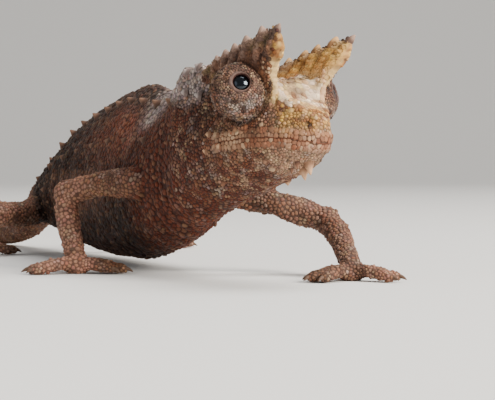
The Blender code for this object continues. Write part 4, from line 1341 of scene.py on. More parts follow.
crest = {
    "front": (2.3, 2.1, 0.9),
    "rear": (-3.8, 2.3, 1.85),
    "tip": (3.8, 3.05, 3.4),
    "sink": 0.9,
    "thick": 0.85,
    "edgeThick": 0.60,
    "frontFoot": (1.75, 2.0, 0.1),
    "frontSwell": 0.16,
    "groove": (66.0, 13.0),  # angle outwards from straight ahead, and width
    "grooveDepth": 0.07,
    # Where the teeth stand, as shares from the rear to the tip.
    "rightTeeth": (0.02, 0.13, 0.265, 0.40, 0.57, 0.79, 1.0),
    "leftTeeth": (0.02, 0.13, 0.27, 0.46, 0.60, 0.80, 1.0),
    "toothHeight": 0.34,
    "rib": 0.17,
    "bead": 0.42,
    "beadDepth": 0.05,
    "ribBead": 0.09,
    "lobes": ((0.50, 0.06), (0.645, 0.075), (0.82, 0.09)),  # middle and width, shares of the rise
    "lobeDepth": 0.18,
    # Soft spots of the front: share of the rise, angle from ahead outwards, radius and tone.
    "frontSpots": (
        (0.89, 57, 0.22, "plateTan"), (0.78, 52, 0.20, "plateBrown"), (0.76, 10, 0.13, "ochreDeep"),
        (0.84, 22, 0.20, "plateTan"), (0.60, 60, 0.24, "lipLine"), (0.66, 38, 0.16, "snoutYellow"),
        (0.52, 30, 0.22, "ochreDeep"), (0.69, 14, 0.16, "hornYellow"), (0.60, 2, 0.09, "faceDark"),
        (0.56, -12, 0.14, "hornCream"), (0.42, 74, 0.22, "lipLine"), (0.45, 40, 0.17, "plateTan"),
        (0.44, -5, 0.16, "hornCream"), (0.72, 84, 0.20, "plateBrown"),
        (0.93, 80, 0.16, "plateBrown"),
        (0.36, 50, 0.10, "hornOlive"), (0.28, 20, 0.12, "hornOlive"), (0.18, 55, 0.12, "hornOlive"),
    ),
    # Blotches of the inner face: tone, size and strength.
    "blotches": (("plateOchre", 0.52, 0.50), ("hornOlive", 0.48, 0.42), ("hornCream", 0.42, 0.60),
                 ("plateTan", 0.36, 0.55), ("hornOchre", 0.34, 0.28), ("plateBrown", 0.28, 0.24)),
    "roundFrom": 0.86,
    "creamTo": 0.42,  # the pale foot of the front ends at this share of the rise
}


# Phase of the teeth: it grows by one from each tooth to the next, and is a half at a tooth.
def toothPhase(share, side):
    teeth = crest["leftTeeth"] if side > 0 else crest["rightTeeth"]
    return np.interp(share, (-0.09, *teeth), np.arange(-0.5, len(teeth)))


# Crest point: a line from foot to edge at each share of the way forward, where the edge has
# teeth, each one hump of a sine, that fade at the tip.
def crestPoints(share, rise, side):
    front, rear, tip = (np.array(crest[name]) for name in ("front", "rear", "tip"))
    share, rise = share[..., None], rise[..., None]
    foot, edge = rear + (front - rear) * share, rear + (tip - rear) * share
    tooth = crest["toothHeight"] * np.abs(np.sin(math.pi * toothPhase(share, side)))
    tooth = tooth * (1 - 0.8 * share**8)
    lean = (edge - foot) / np.maximum(lengths(edge - foot)[..., None], 0.3)
    drop = np.array(crest["frontFoot"]) - front
    foot = foot + np.where(share > 0.7, drop * ramp(share, 0.7, 1.0), 0)
    foot = foot - np.array((0, 0, crest["sink"])) * (1 - ramp(share, 0.7, 1.0))
    place = foot + (edge + lean * tooth - foot) * rise
    return place * (1, side, 1)


# Half thickness of a crest: straight from foot to edge, and swollen at the front by a bell.
def crestHalf(share, rise):
    half = 0.5 * (crest["thick"] + (crest["edgeThick"] - crest["thick"]) * rise)
    swell = crest["frontSwell"] * bell(rise, 0.60, 0.18) - 0.10 * bell(rise, 0.1, 0.3)
    return half + ramp(share, 0.80, 1.0) * (swell - 0.22 * ramp(rise, 0.70, 0.95))


# Crest surface: rings round a blade at each rise. A ring runs forward along the outer face,
# round the front in a half circle, back along the inner face and round the rear. The blade's
# thickness closes at the edge by a quarter circle. Ribs are the sine of the share, and the
# beads on the front and along the ribs are the sine of the height.
def crestSurface(side):
    faces, cap, levels = ((96, 22, 74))
    line, full, none = np.linspace(0, 1, faces), np.ones(faces), np.zeros(faces)
    frontTurn = np.linspace(math.pi / 2, -math.pi / 2, cap + 2)[1:-1]
    share = np.concatenate([line, np.ones(cap), line[::-1], np.zeros(cap)])
    thick = np.concatenate([full, np.sin(frontTurn), -full, -np.sin(frontTurn)])
    ahead = np.concatenate([none, np.cos(frontTurn), none, np.cos(frontTurn + math.pi)])
    start = crest["roundFrom"]
    up = np.linspace(0, 1, levels)
    curved = start + (1 - start) * np.sin((up - 0.8) / 0.2 * math.pi / 2)
    # From here on every array has one value for each point, ring after ring.
    around = len(share)
    r = np.repeat(np.where(up < 0.8, up / 0.8 * start, curved), around)
    s, thick, ahead = (np.tile(values, levels) for values in (share, thick, ahead))
    count = len(s)
    closing = np.sqrt(np.clip(1 - (np.maximum(r - start, 0) / (1 - start)) ** 2, 0, 1))
    middle = crestPoints(s, r, side)
    height = lengths(middle - crestPoints(s, np.zeros(count), side))
    phase = toothPhase(s + 0.02 * np.sin(4 * r), side)
    rib = np.abs(np.sin(math.pi * phase))
    outer, onFront = np.clip(thick, 0, 1), np.maximum(ahead, 0)
    bead = np.abs(np.sin(math.pi * height / crest["bead"]))
    ribBead = np.abs(np.sin(math.pi * height / crest["bead"] + 1.3 * np.floor(phase)))
    grow = ramp(r, 0.15, 0.55)
    push = crest["rib"] * (rib**0.8 - 0.5) * grow * (1 - onFront) * (1 - 0.35 * outer)
    push += crest["ribBead"] * (ribBead - 0.5) * rib * grow * (1 - onFront)
    lobe = np.clip(sum(bell(r, place, width) for place, width in crest["lobes"]), 0, 1)
    angle = np.degrees(np.arctan2(thick, np.maximum(ahead, 1e-6)))
    groove = bell(angle, *crest["groove"]) * ramp(r, 0.40, 0.48) * (1 - ramp(r, 0.90, 0.97))
    groove = groove * ramp(s, 0.9, 1.0)
    push -= crest["grooveDepth"] * groove
    push += crest["beadDepth"] * (bead**0.7 - 0.5) * onFront
    push += crest["lobeDepth"] * (lobe - 0.4) * onFront * (r > 0.3)
    half = (crestHalf(s, r) + push) * closing
    outward, forward = np.array(((0.0, side, 0.0), (1.0, 0.0, -0.1)))
    flat = middle + outward * (half * thick)[:, None] + forward * (half * ahead)[:, None]
    rough = cloud(flat, 0.16, 61.0) + cloud(flat, 0.4, 62.0) - 1.0
    coarse = rough * (0.018 + 0.032 * outer) * thick * closing
    points = flat + outward * coarse[:, None]
    place, quads = closedStack(toBody(points.reshape(levels, around, 3)))
    # Colour: pinkish brown outside, ochre inside and in front, pale along the rims. Painted shade
    # darkens the hollows between ribs and lobes and the front groove, and the near horn's front
    # more than the far one's; painted light brightens the rib crests and the lower inner faces.
    fine = cloud(flat, 0.42, 63.0) - 0.5
    broad = cloud(flat, 0.9, 64.0) - 0.5
    onFoot = r <= crest["creamTo"]
    valley = np.where(onFront > 0.3, np.where(onFoot, 1 - bead, 1 - lobe), 1 - rib)
    edge, rim = ramp(r, 0.80, 0.98), ramp(r, 0.80, 0.93)
    byFront = ramp(s, 0.80, 0.93) * outer
    lumps = spots(flat * (1, 1, 0.8), 0.30, 73.0, 0.45, 0.7)
    colour = painted(plain("hornMauve", count), (
        # Painted shade in the valleys between the ribs; painted light on the rib crests.
        ("gap", valley**1.5 * 0.85 * ramp(r, 0.05, 0.4) * (1 - rim)),
        ("hornKnob", rib**3 * ramp(r, 0.25, 0.75) * 0.6),
        ("facePink", ramp(fine, 0.0, 0.3) * 0.5),
        ("hornOlive", ramp(broad, 0.05, 0.25) * 0.55),
        ("hornKnob", edge * (0.35 + 0.55 * rib)),
        ("plateBrown", byFront * lumps * 0.6),
        ("gap", byFront * (1 - lumps) * 0.5),
    ))
    blotches = [
        (name, spots(flat, size, 75.0 + 3 * number, 0.52, 0.74) * strength)
        for number, (name, size, strength) in enumerate(crest["blotches"])
    ]
    inside = painted(plain("hornYellow", count), (
        # Painted shade: olive in the valleys between the ribs.
        ("hornOlive", valley**2 * (0.15 + 0.3 * r) * (1 - rim)),
        *blotches,
        ("hornKnob", rim * 0.45),
        ("nape", (1 - ramp(s, 0.2, 0.5)) * ramp(r, 0.4, 0.8) * 0.6),
    ))
    front = painted(plain("plateOchre", count), (
        # Painted shade between the lobes, and dark in the groove.
        ("ochreDeep", (1 - lobe) * 0.7),
        ("plateTan", np.full(count, 0.55 if side > 0 else 0.15)),
        ("plateBrown", spots(flat * (1, 1, 0.5), 0.22, 65.0, 0.5, 0.75) * 0.7),
        ("plateBrown", outer**2 * 0.8),
        ("lipLine", groove * 0.75),
        ("hornYellow", ramp(-thick, 0.0, 0.8) * 0.7),
    ))
    uneven = 0.7 + 0.6 * cloud(flat, 0.2, 68.0)
    for level, angle, size, name in crest["frontSpots"]:
        turn = math.radians(angle)
        way = np.array((math.cos(turn), side * math.sin(turn), -0.1 * math.cos(turn)))
        here = np.ones(1), np.full(1, level)
        centre = crestPoints(*here, side) + way * crestHalf(*here)[:, None]
        away = lengths((flat - centre) * (1, 1, 0.7)) * uneven
        front = blended(front, name, spotShare(away, size))
    share = np.clip(onFront * 1.6, 0, 1)[:, None]
    # Painted shade: the near horn's front is darkened more than the far horn's.
    inside = inside * (1 - share) + front * share * (0.54 if side < 0 else 0.76)
    end = crest["creamTo"]
    cream = (1 - ramp(r + 0.10 * fine, end - 0.05, end + 0.03)) * (onFront > 0.05)
    inside = painted(inside, (
        ("hornCream", edge * rib * 0.35),
        ("hornCream", cream),
        ("hornOlive", cream * spots(flat, 0.19, 69.0, 0.5, 0.8) * 0.45),
        ("hornKnob", ramp(r, 0.90, 0.96) * (onFront > 0.2)),
        ("foreheadPale", (1 - ramp(r, 0.28, 0.58)) * (1 - onFront)),
    ))
    inner = np.clip(ramp(-thick, -0.2, 0.3) + ramp(ahead, 0.2, 0.6), 0, 1)[:, None]
    # Painted light on the inner faces, stronger low down between the crests.
    paintedLight = (0.08 + 0.26 * (1 - ramp(r, 0.45, 0.8))) * (1 - np.clip(onFront, 0, 1))
    colour = colour * (1 - inner) + inside * inner
    colour = colour * (1 + (0.5 - 0.3 * inner) * fine[:, None])
    colour = np.clip(colour * (1 + inner * paintedLight[:, None]), 0.002, 0.9)
    # Height mark: low in the valleys, for the painted shade; high on the rib crests, for the paler
    # top.
    top = np.clip(1 - 0.45 * valley * grow, 0, 1)
    ends = (np.concatenate([v[:around], v, v[-around:]]) for v in (colour, top))
    return place, quads, *ends


# Where the knob of each tooth stands, and which way it leans.
def crestKnobs(side):
    share = np.array(crest["leftTeeth"] if side > 0 else crest["rightTeeth"])
    edge = crestPoints(share, np.ones(len(share)), side)
    below = crestPoints(share, np.full(len(share), 0.8), side)
    return edge, unit(edge - below)


# Fine scales on the outer face of each crest.
def crestScales(place, quads, side):
    seed = seeds["crest"] + side
    normals = vertexNormals(place, quads)
    outward = wayToBody((0.0, side, 0.0))

    def spacingAt(points, facing):
        u = toHead(points)[:, 2]
        size = scales["crest"] * quickGrow * (0.75 + 0.6 * cloud(points, 0.5, 33.0))
        return np.where((facing @ outward > 0.75) & (u > 0.5), size, 0.0)

    spot, facing, reach = scatter(place, normals, quads, spacingAt, seed)
    radii = mosaic(spot, facing, reach, 7)
    rng = np.random.default_rng(seed)
    height = radii.mean(axis=1) * rng.uniform(0.16, 0.42, len(spot))
    return spot, facing, radii, height, nearestOf(spot, place)


sides = ((1, "left"), (-1, "right"))
hornSurface = {}
for side, word in sides:
    place, quads, tint, rise = crestSurface(side)
    hornSurface[word] = place
    horn = dressedPiece("horn." + word, place, [quads], tint, rise, hornHide)
    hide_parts("horn_" + word)
    spot, facing, radii, height, nearest = crestScales(place, quads, side)
    rng = np.random.default_rng(seeds["crestShade"] + side)
    shade = rng.uniform(0.70, 1.36, (len(spot), 1))
    scaleCoat("crestScales." + word, spot, facing, radii, height, plainProfile,
              np.clip(tint[nearest] * shade, 0, 0.9), scaleHide)

# Plates of the front: each (share of the rise, angle from straight ahead towards the outer
# side, half width, half height, tone), on each horn.
plates = {
    "right": (
        (0.480, -30, 0.20, 0.15, "hornCream"), (0.565, -32, 0.21, 0.18, "hornYellow"),
        (0.660, -30, 0.22, 0.19, "hornYellow"), (0.755, -32, 0.20, 0.17, "hornCream"),
        (0.845, -34, 0.14, 0.15, "hornCream"), (0.455, 82, 0.12, 0.16, "facePink"),
        (0.555, 84, 0.13, 0.19, "plateBrown"), (0.665, 86, 0.13, 0.24, "facePink"),
        (0.780, 84, 0.13, 0.20, "facePink"), (0.875, 80, 0.12, 0.18, "plateBrown"),
    ),
    "left": (
        (0.500, 30, 0.22, 0.16, "plateOchre"), (0.620, 34, 0.22, 0.20, "plateTan"),
        (0.740, 30, 0.20, 0.18, "hornYellow"), (0.850, 28, 0.20, 0.18, "plateTan"),
        (0.580, -54, 0.20, 0.16, "plateBrown"), (0.700, -54, 0.18, 0.18, "plateTan"),
    ),
    "lift": 0.15,
    "tipSpot": (3.92, 3.25, 3.12, 0.12),  # a dark spot below the right horn's tip: forward, out, up, radius
    # Strings of small beads between the turret and the horn's foot: forward, out and up.
    "strings": (
        ((2.10, 3.02, 1.60), (2.05, 2.83, 1.23), (2.02, 2.64, 0.88), (1.84, 2.46, 0.44),
         (1.80, 2.40, -0.07), (1.70, 2.36, -0.48), (1.58, 2.32, -0.77)),
        ((2.44, 3.08, 1.72), (2.55, 2.93, 1.40), (2.50, 2.75, 1.06), (2.29, 2.55, 0.68),
         (2.05, 2.37, 0.29), (1.88, 2.28, -0.15), (1.84, 2.24, -0.59)),
        ((2.28, 3.08, 1.85), (2.25, 2.98, 1.42), (2.24, 2.80, 1.05), (2.08, 2.58, 0.68)),
    ),
    "bead": (0.095, 0.15),  # half width and half height of a bead
}


# Outline of an oval: a superellipse of power 2.6 in each direction round it.
def ovals(wide, tall, sides):
    turn = turns(sides)
    across = np.abs(np.cos(turn)) / np.asarray(wide)[:, None]
    over = np.abs(np.sin(turn)) / np.asarray(tall)[:, None]
    return (across**2.6 + over**2.6) ** (-1 / 2.6)


# Plates on a horn's front: the middle line at the plate's rise, moved out by the half
# thickness along the plate's angle.
def frontPlates(side, word):
    rise, angle, wide, tall = (np.array([row[i] for row in plates[word]]) for i in range(4))
    turn = np.radians(angle)[:, None]
    way = np.cos(turn) * (1.0, 0.0, -0.1) + np.sin(turn) * (0.0, side, 0.0)
    share = np.ones(len(rise))
    place = crestPoints(share, rise, side) + way * (crestHalf(share, rise)[:, None] - 0.02)
    tint = np.array([tone(row[4]) for row in plates[word]])
    if side < 0:
        tint = np.vstack([tint, tone("lidDark")])
        spot = onSide(plates["tipSpot"], side)
        place, way = np.vstack([place, spot]), np.vstack([way, onSide((0.85, 0.45, 0.25), side)])
        wide, tall = (np.append(v, plates["tipSpot"][3]) for v in (wide, tall))
    return toBody(place), unit(wayToBody(way)), wide, tall, tint


# Beads of a string: uneven steps along a smooth path, moved to the nearest point of the horn or
# the skin, facing outwards and forwards.
def stringBeads(side, word, rng):
    places, talls = [], []
    for rows in plates["strings"]:
        path = smoothPath(np.array(rows) * (1, side, 1), 60)
        tall = plates["bead"][1] * rng.uniform(0.65, 1.35, 40)
        marks = np.cumsum(2 * tall) - tall
        inside = marks < runOf(path)[-1]
        places.append(placesAt(path, marks[inside]))
        talls.append(tall[inside])
    place, tall = toBody(np.concatenate(places)), np.concatenate(talls)
    near = skinPoints[lengths(skinPoints - place.mean(axis=0)) < 3.0]
    near = np.concatenate([near, hornSurface[word]])
    place = near[nearestOf(place, near)]
    count = len(place)
    facing = np.tile(wayToBody((0.62, 0.78 * side, 0.0)), (count, 1))
    share = rng.random(count)
    tint = painted(plain("facePink", count), (
        ("plateBrown", (share < 0.35) * 1.0), ("faceCream", (share > 0.75) * 0.7),
    ))
    return place, facing, plates["bead"][0] * rng.uniform(0.85, 1.2, count), tall, tint


# Plates and beads of one horn, in one piece.
def hornPlates(side, word):
    rng = np.random.default_rng(seeds["plates"] + side)
    rows = [frontPlates(side, word), stringBeads(side, word, rng)]
    place, facing, wide, tall, tint = (np.concatenate(part) for part in zip(*rows))
    radii = ovals(wide, tall, 14) * rng.uniform(0.93, 1.05, (len(place), 14))
    tint = tint * rng.uniform(0.85, 1.15, (len(place), 1))
    height = plates["lift"] * np.clip(wide / 0.30, 0.5, 0.7) * rng.uniform(0.8, 1.2, len(place))
    scaleCoat("hornPlates." + word, place, facing, radii, height, knobProfile, tint, hornHide)


# Brow ridge: a pale bar below each horn, with its radius waved by a sine of the length so that
# it reads as a row of joined beads.
ridge = {
    # forward, out, up and radius
    "rows": ((2.36, 2.06, 1.50, 0.24), (2.24, 2.06, 0.90, 0.25), (2.16, 2.02, 0.2, 0.26),
             (2.10, 1.96, -0.4, 0.26), (2.08, 1.88, -0.8, 0.22), (2.16, 1.74, -1.1, 0.16),
             (2.3, 1.55, -1.3, 0.08)),
    "bead": 0.36,
    "depth": 0.18,
    "leftShare": 0.78,
}


# The ridge of one side, roughened by noise.
def browRidge(side, word):
    rows = np.array(ridge["rows"]) * (1, side, 1, ridge["leftShare"] if side > 0 else 1)
    rows[:, :3] = toBody(rows[:, :3])
    path = smoothPath(rows, 90)
    run = runOf(path[:, :3])
    wave = np.abs(np.sin(math.pi * run / ridge["bead"] + 1.5 * np.sin(run)))
    path[:, 3] *= 1 - ridge["depth"] + ridge["depth"] * wave**0.6
    path[0, 3], path[-1, 3] = 0.03, 0.03
    place, quads = barStack(path, 16)
    rough = cloud(place, 0.24, 66.0)
    place = place + (vertexNormals(place, quads) * (0.12 * (rough - 0.5))[:, None])
    wave = np.repeat(np.concatenate([wave[:1], wave, wave[-1:]]), 16)
    # Paler where the noise lifts the surface: painted light.
    tint = painted(plain("hornCream", len(place)), (
        ("foreheadPale", rough),
        ("hornOlive", spots(place, 0.30, 67.0, 0.5, 0.75) * 0.6),
        ("foreheadWhite", spots(place, 0.36, 70.0, 0.6, 0.8) * 0.6),
        ("foreheadPink", np.full(len(place), 0.6 if side > 0 else 0.0)),
    ))
    # Height mark: high on the beads, for their paler top, partly painted highlight.
    dressedPiece("browRidge." + word, place, [quads], tint, 0.7 + 0.3 * wave, hornHide)


# Eyes

eye = {
    "ballRadius": 0.80,
    "ballOut": 0.86,
    "pupil": 0.50,
    "ring": 0.59,
    "seat": 0.72,  # how far off the gaze the lid meets the turret
    "rearLift": 0.09,
    "wrinkle": 0.08,
    "lid": ((0.30, -0.62), (0.495, -0.42), (0.505, -0.16), (0.53, -0.03), (0.565, 0.03),
            (0.60, 0.05), (0.64, 0.04), (0.68, 0.0), (0.73, -0.08), (0.79, -0.2)),
}


# Turned surface: the rings of a profile of (radius, height) about an axis.
def turnedRings(profile, centre, axis, around):
    across, over = (v[0] for v in tangents(axis[None]))
    turn = np.linspace(0, 2 * math.pi, around, endpoint=False)
    ring = across * np.cos(turn)[:, None] + over * np.sin(turn)[:, None]
    return centre + ring[None] * profile[:, None, :1] + axis * profile[:, None, 1:]


# Lid: a turned profile, lifted at the rear and wrinkled by noise. Its colour is lighter on the
# wrinkles' crests and darker in their dips, painted light and shade.
def lidPiece(side, word):
    centre, gaze = turretCentre(side), turretGaze(side)
    table = np.column_stack([np.linspace(0, 1, len(eye["lid"])), eye["lid"]])
    profile = along(table, np.linspace(0, 1, 30))
    profile[:, 1] += math.sqrt(turret["radius"] ** 2 - eye["seat"] ** 2)
    rings = turnedRings(profile, centre, gaze, 72)
    rear = unit(wayToBody(onSide((-0.6, 0.8, 0.0), side)))
    lift = eye["rearLift"] * ramp(profile[:, 0], 0.54, 0.68)
    rings = rings + rear * lift[:, None, None]
    flat = rings.reshape(-1, 3)
    wrinkle = cloud(flat, 0.09, 71.0) * 0.6 + cloud(flat, 0.2, 72.0) * 0.4 - 0.5
    rings = rings + gaze * (eye["wrinkle"] * wrinkle.reshape(rings.shape[:2]))[..., None]
    place = rings.reshape(-1, 3)
    quads = ringFaces(len(rings), rings.shape[1])
    wide = np.repeat(profile[:, 0], rings.shape[1])
    colour = painted(plain("lidPink", len(place)), (
        ("lidDark", 1 - ramp(wide, 0.525, 0.57)), ("faceDark", ramp(wide, 0.655, 0.70) * 0.8),
    )) * (1 + 0.7 * wrinkle)[:, None]
    # Height mark: low at the outer edge, where the lid meets the turret, for the painted shade
    # there.
    rise = np.clip(1 - 0.5 * ramp(wide, 0.74, 0.82), 0, 1)
    dressedPiece("lid." + word, place, [quads], colour, rise, lidHide)


# Eyeball: a turned half circle. Pupil, iris and rim go by the distance from its axis.
def eyePiece(side, word):
    centre, gaze = turretCentre(side), turretGaze(side)
    turn = np.linspace(0.02, 0.98, 40) * math.pi
    profile = np.column_stack([np.sin(turn), np.cos(turn)]) * eye["ballRadius"]
    profile[:, 1] += eye["ballOut"]
    place, quads = closedStack(turnedRings(profile, centre, gaze, 48)[::-1])
    deep, wide = fromTurret(place, side)[1:]
    wide = np.where(deep > eye["ballOut"], wide, 9.0)
    colour = painted(plain("black", len(place)), (
        ("irisBrown", ramp(wide, eye["pupil"], eye["pupil"] + 0.03)),
        ("lidDark", ramp(wide, eye["ring"], eye["ring"] + 0.04)),
    ))
    piece = dressedPiece("eye." + word, place, [quads], colour, 1.0, eyeGloss)
    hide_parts("eyeball_" + word)


lidHide = hideMaterial("lidHide", 0.25, 0.6, 0.0, 0.012)


# The wet eye.
def glossMaterial():
    material, tree, shader = newMaterial("eyeGloss")
    fill(tree, shader, {
        "Base Color": addNode(tree, "Attribute", attribute_name="tint")["Color"],
        "Roughness": 0.13, "Specular IOR Level": 0.62, "Specular Tint": (0.70, 0.84, 1.0, 1),
    })
    return material


eyeGloss = glossMaterial()
for side, word in sides:
    hornPlates(side, word)
    browRidge(side, word)
    lidPiece(side, word)
    eyePiece(side, word)

# Pointed scales

spines = {
    "chin": ((2.55, 0.45, -4.55, 0.40, 0.78), (2.02, 0.46, -4.80, 0.40, 0.82),
             (0.8, 0.5, -5.2, 0.22, 0.15), (-0.4, 1.3, -5.4, 0.28, 0.28),
             (-1.8, 0.7, -5.8, 0.24, 0.14)),
    "chinPointing": (0.15, 0.12, -1.0),
    "side": ((-6.8, 1.75, 2.05, 0.34, 0.30), (-5.3, 2.0, 2.2, 0.32, 0.28),
             (-6.3, 2.3, 0.6, 0.30, 0.28), (-4.6, 2.5, 0.2, 0.30, 0.26),
             (-2.9, 3.05, -2.5, 0.28, 0.22), (-3.3, 3.0, -3.5, 0.26, 0.20),
             (-4.6, 3.0, -2.9, 0.26, 0.18)),
    # Single larger scales: forward, out, up, radius, height and tone.
    "beads": (
        (3.22, 0.93, -0.95, 0.12, 0.13, "foreheadWhite"),
        (-0.46, 2.95, -2.45, 0.24, 0.14, "plateBrown"),
        (1.28, 1.45, -4.95, 0.24, 0.18, "faceCream"), (-2.2, 3.12, -2.62, 0.22, 0.15, "faceCream"),
        (-1.9, 3.12, -3.4, 0.20, 0.14, "faceCream"), (2.5, 1.75, -1.75, 0.16, 0.11, "facePink"),
        (2.50, 1.90, -1.05, 0.16, 0.05, "plateBrown"),
        (2.70, 1.72, -1.10, 0.13, 0.05, "snoutYellow"),
        (3.02, 1.38, -0.95, 0.14, 0.05, "plateTan"), (3.40, 1.30, -1.25, 0.15, 0.05, "plateBrown"),
        (3.70, 1.00, -1.50, 0.15, 0.05, "plateTan"), (3.60, 0.25, -1.30, 0.14, 0.05, "plateTan"),
        (3.20, 1.50, -1.45, 0.18, 0.06, "hornCream"), (4.25, 0.35, -2.05, 0.14, 0.05, "faceCream"),
        (1.54, 2.43, -2.24, 0.18, 0.08, "faceCream"), (0.40, 2.75, -2.40, 0.20, 0.08, "plateBrown"),
    ),
    "back": (1, -0.6, 2.9, 0.40, 0.52),
    "flank": ((2, 1.2, 3.9, 0.34, 0.32), (3, 6.2, 4.7, 0.34, 0.28)),
    "last": 29.0,
    "knob": (0.30, 0.32),
    "sides": 9,
}


# A trunk corner's place and its direction square to the skin, at each distance back.
def trunkCorners(backs, corner, side):
    middle, top, bottom, width = trunkAt(backs)
    share, drop = trunkShape[corner]
    place = np.column_stack([middle + side * width * share, backs, top - drop * (top - bottom)])
    before, after = trunkShape[corner - 1], trunkShape[corner + 1]
    run = np.column_stack([
        side * width * (after[0] - before[0]), np.zeros(len(backs)),
        -(top - bottom) * (after[1] - before[1]),
    ])
    out = unit(np.cross(run, (0.0, 1.0, 0.0)) * -side)
    return place, np.where((out[:, :1] * side < 0) & (out[:, 2:] < 0), -out, out)


# Spines of the chin, neck, back and flanks, and a knob on each knee, in one piece.
def pointedScales():
    parts = []

    def add(points, pointing, radius, length, name):
        points = np.atleast_2d(points)
        count = len(points)
        parts.append((points, np.broadcast_to(unit(pointing), points.shape),
                      np.full(count, radius), np.full(count, length), plain(name, count)))

    for side in (-1, 1):
        way = wayToBody(onSide(spines["chinPointing"], side))
        name, grow = ("spinePale", 1.0) if side > 0 else ("facePink", 0.55)
        for f, out, up, radius, length in spines["chin"]:
            add(toBody((f, out * side, up)), way, radius * grow, length * grow, name)
        for f, out, up, radius, length in spines["side"]:
            way = wayToBody((-0.6, side, 0.7 if up > 1.0 else 0.1))
            name = "nape" if up > 0 else "spinePale"
            add(toBody((f, out * side, up)), way, radius, length, name)
        for corner, start, spacing, radius, length in (spines["back"], *spines["flank"]):
            backs = np.arange(start, spines["last"], spacing)
            spot, out = trunkCorners(backs, corner, side)
            add(spot, out + (0, 0.25, 0), radius, length, "spineBody")
    for upper, lower in limbs.values():
        knee, before, after = (np.array(p[:3]) for p in (upper[-1], upper[-2], lower[1]))
        way = unit(2 * knee - before - after + (0, 0, 0.6))
        add(knee + way * (skin["kneeRadius"] - 0.1), way, *spines["knob"], "spineBody")
    place, facing, wide, tall, colour = (np.concatenate(part) for part in zip(*parts))
    rng = np.random.default_rng(seeds["spines"])
    radii = jittered(rng, wide, spines["sides"], 0.12)
    colour = colour * rng.uniform(0.85, 1.15, (len(colour), 1))
    scaleCoat("pointedScales", place, facing, radii, tall, spineProfile, colour, hornHide)


pointedScales()


# Teeth of the crests: pointed knobs on the edges, and a slimmer one that leans forward at each
# tip.
tooth = {
    "profile": np.array(((1.10, -0.55), (1.0, 0.0), (0.80, 0.30), (0.54, 0.62), (0.24, 0.92),
                         (0.0, 1.0))),
    "wide": 0.44,
    "tall": 0.62,
    "sink": 0.26,
    "tipWide": 0.25,
    "tipTall": 0.46,
    "tipLean": 0.38,
    "lean": -0.35,
    "sides": 12,
}


# Every tooth of both crests, in one piece.
def crestTeeth():
    place, facing, names = [], [], []
    for side in (-1, 1):
        edge, lean = crestKnobs(side)
        count = len(edge)
        atTip = np.arange(count) == count - 1
        forward = np.where(atTip[:, None], tooth["tipLean"], tooth["lean"]) * (1.0, 0.0, 0.0)
        place.append(toBody(edge - lean * tooth["sink"]))
        facing.append(wayToBody(lean + forward))
        rear, middle = ("hornKnob", "hornKnob") if side < 0 else ("nape", "plateTan")
        names.extend([rear] * 2 + [middle] * (count - 3) + ["hornKnob"])
    tip, grow = np.tile(atTip, 2), np.tile(np.linspace(0.75, 1.0, count), 2)
    wide = np.where(tip, tooth["tipWide"], tooth["wide"] * grow)
    tall = np.where(tip, tooth["tipTall"], tooth["tall"] * grow)
    rng = np.random.default_rng(seeds["teeth"])
    radii = jittered(rng, wide, tooth["sides"], 0.28)
    colour = np.array([tone(name) for name in names]) * rng.uniform(0.85, 1.15, (len(names), 1))
    scaleCoat("crestTeeth", np.concatenate(place), unit(np.concatenate(facing)), radii, tall,
              tooth["profile"], colour, hornHide)


# Single larger scales of the face, partly in the tone of the skin around them.
def faceBeads():
    rows = np.array([row[:5] for row in spines["beads"]])
    found = [onSkin(toBody(rows[:, :3] * (1, side, 1))) for side in (-1, 1)]
    place, facing = (np.concatenate(part) for part in zip(*found))
    wide, tall = np.tile(rows[:, 3], 2), np.tile(rows[:, 4], 2)
    rng = np.random.default_rng(seeds["beads"])
    radii = jittered(rng, wide, 12, 0.45)
    tint = np.array([tone(row[5]) for row in spines["beads"]] * 2)
    tint = (0.7 * tint + 0.3 * markings(place)) * rng.uniform(0.9, 1.15, (len(wide), 1))
    scaleCoat("faceBeads", place, facing, radii, tall, knobProfile, tint, faceHide)


crestTeeth()
faceBeads()

# Larger pointed scales, strewn sparsely over the finer ones.
tubercles = {"spacing": 0.95, "radius": 0.17, "lift": 0.75}


# Tubercles stand everywhere but on the turrets, the upper snout and the feet.
def tubercleSpacing(points, normals):
    f, u = toHead(points)[:, (0, 2)].T
    keep = (turretShare(points)[0] > 2.0) & (points[:, 2] > 0.8) & ~((f > 0.5) & (u > -3.6))
    size = tubercles["spacing"] * (0.7 + 0.8 * cloud(points, 1.6, 81.0))
    return np.where(keep, size, 0.0)


# The tubercles, each partly in a paler tone.
def tubercleCoat():
    skinNow = skinPoints, skinNormals, skinQuads
    place, facing = scatter(*skinNow, tubercleSpacing, seeds["tubercles"][0])[:2]
    rng = np.random.default_rng(seeds["tubercles"][1])
    count = len(place)
    wide = tubercles["radius"] * rng.uniform(0.75, 1.35, count)
    radii = jittered(rng, wide, 8, 0.16)
    tint = blended(markings(place), "tuberclePale", rng.uniform(0.05, 0.38, count))
    scaleCoat("tubercles", place, facing, radii, wide * tubercles["lift"], spineProfile, tint,
              scaleHide)


tubercleCoat()

# Claws: a bar that thins to a point and curves down to the floor from each toe's end.
claw = {"length": 0.75, "radius": 0.19, "drop": 0.16, "arch": 0.06, "tip": 0.015}


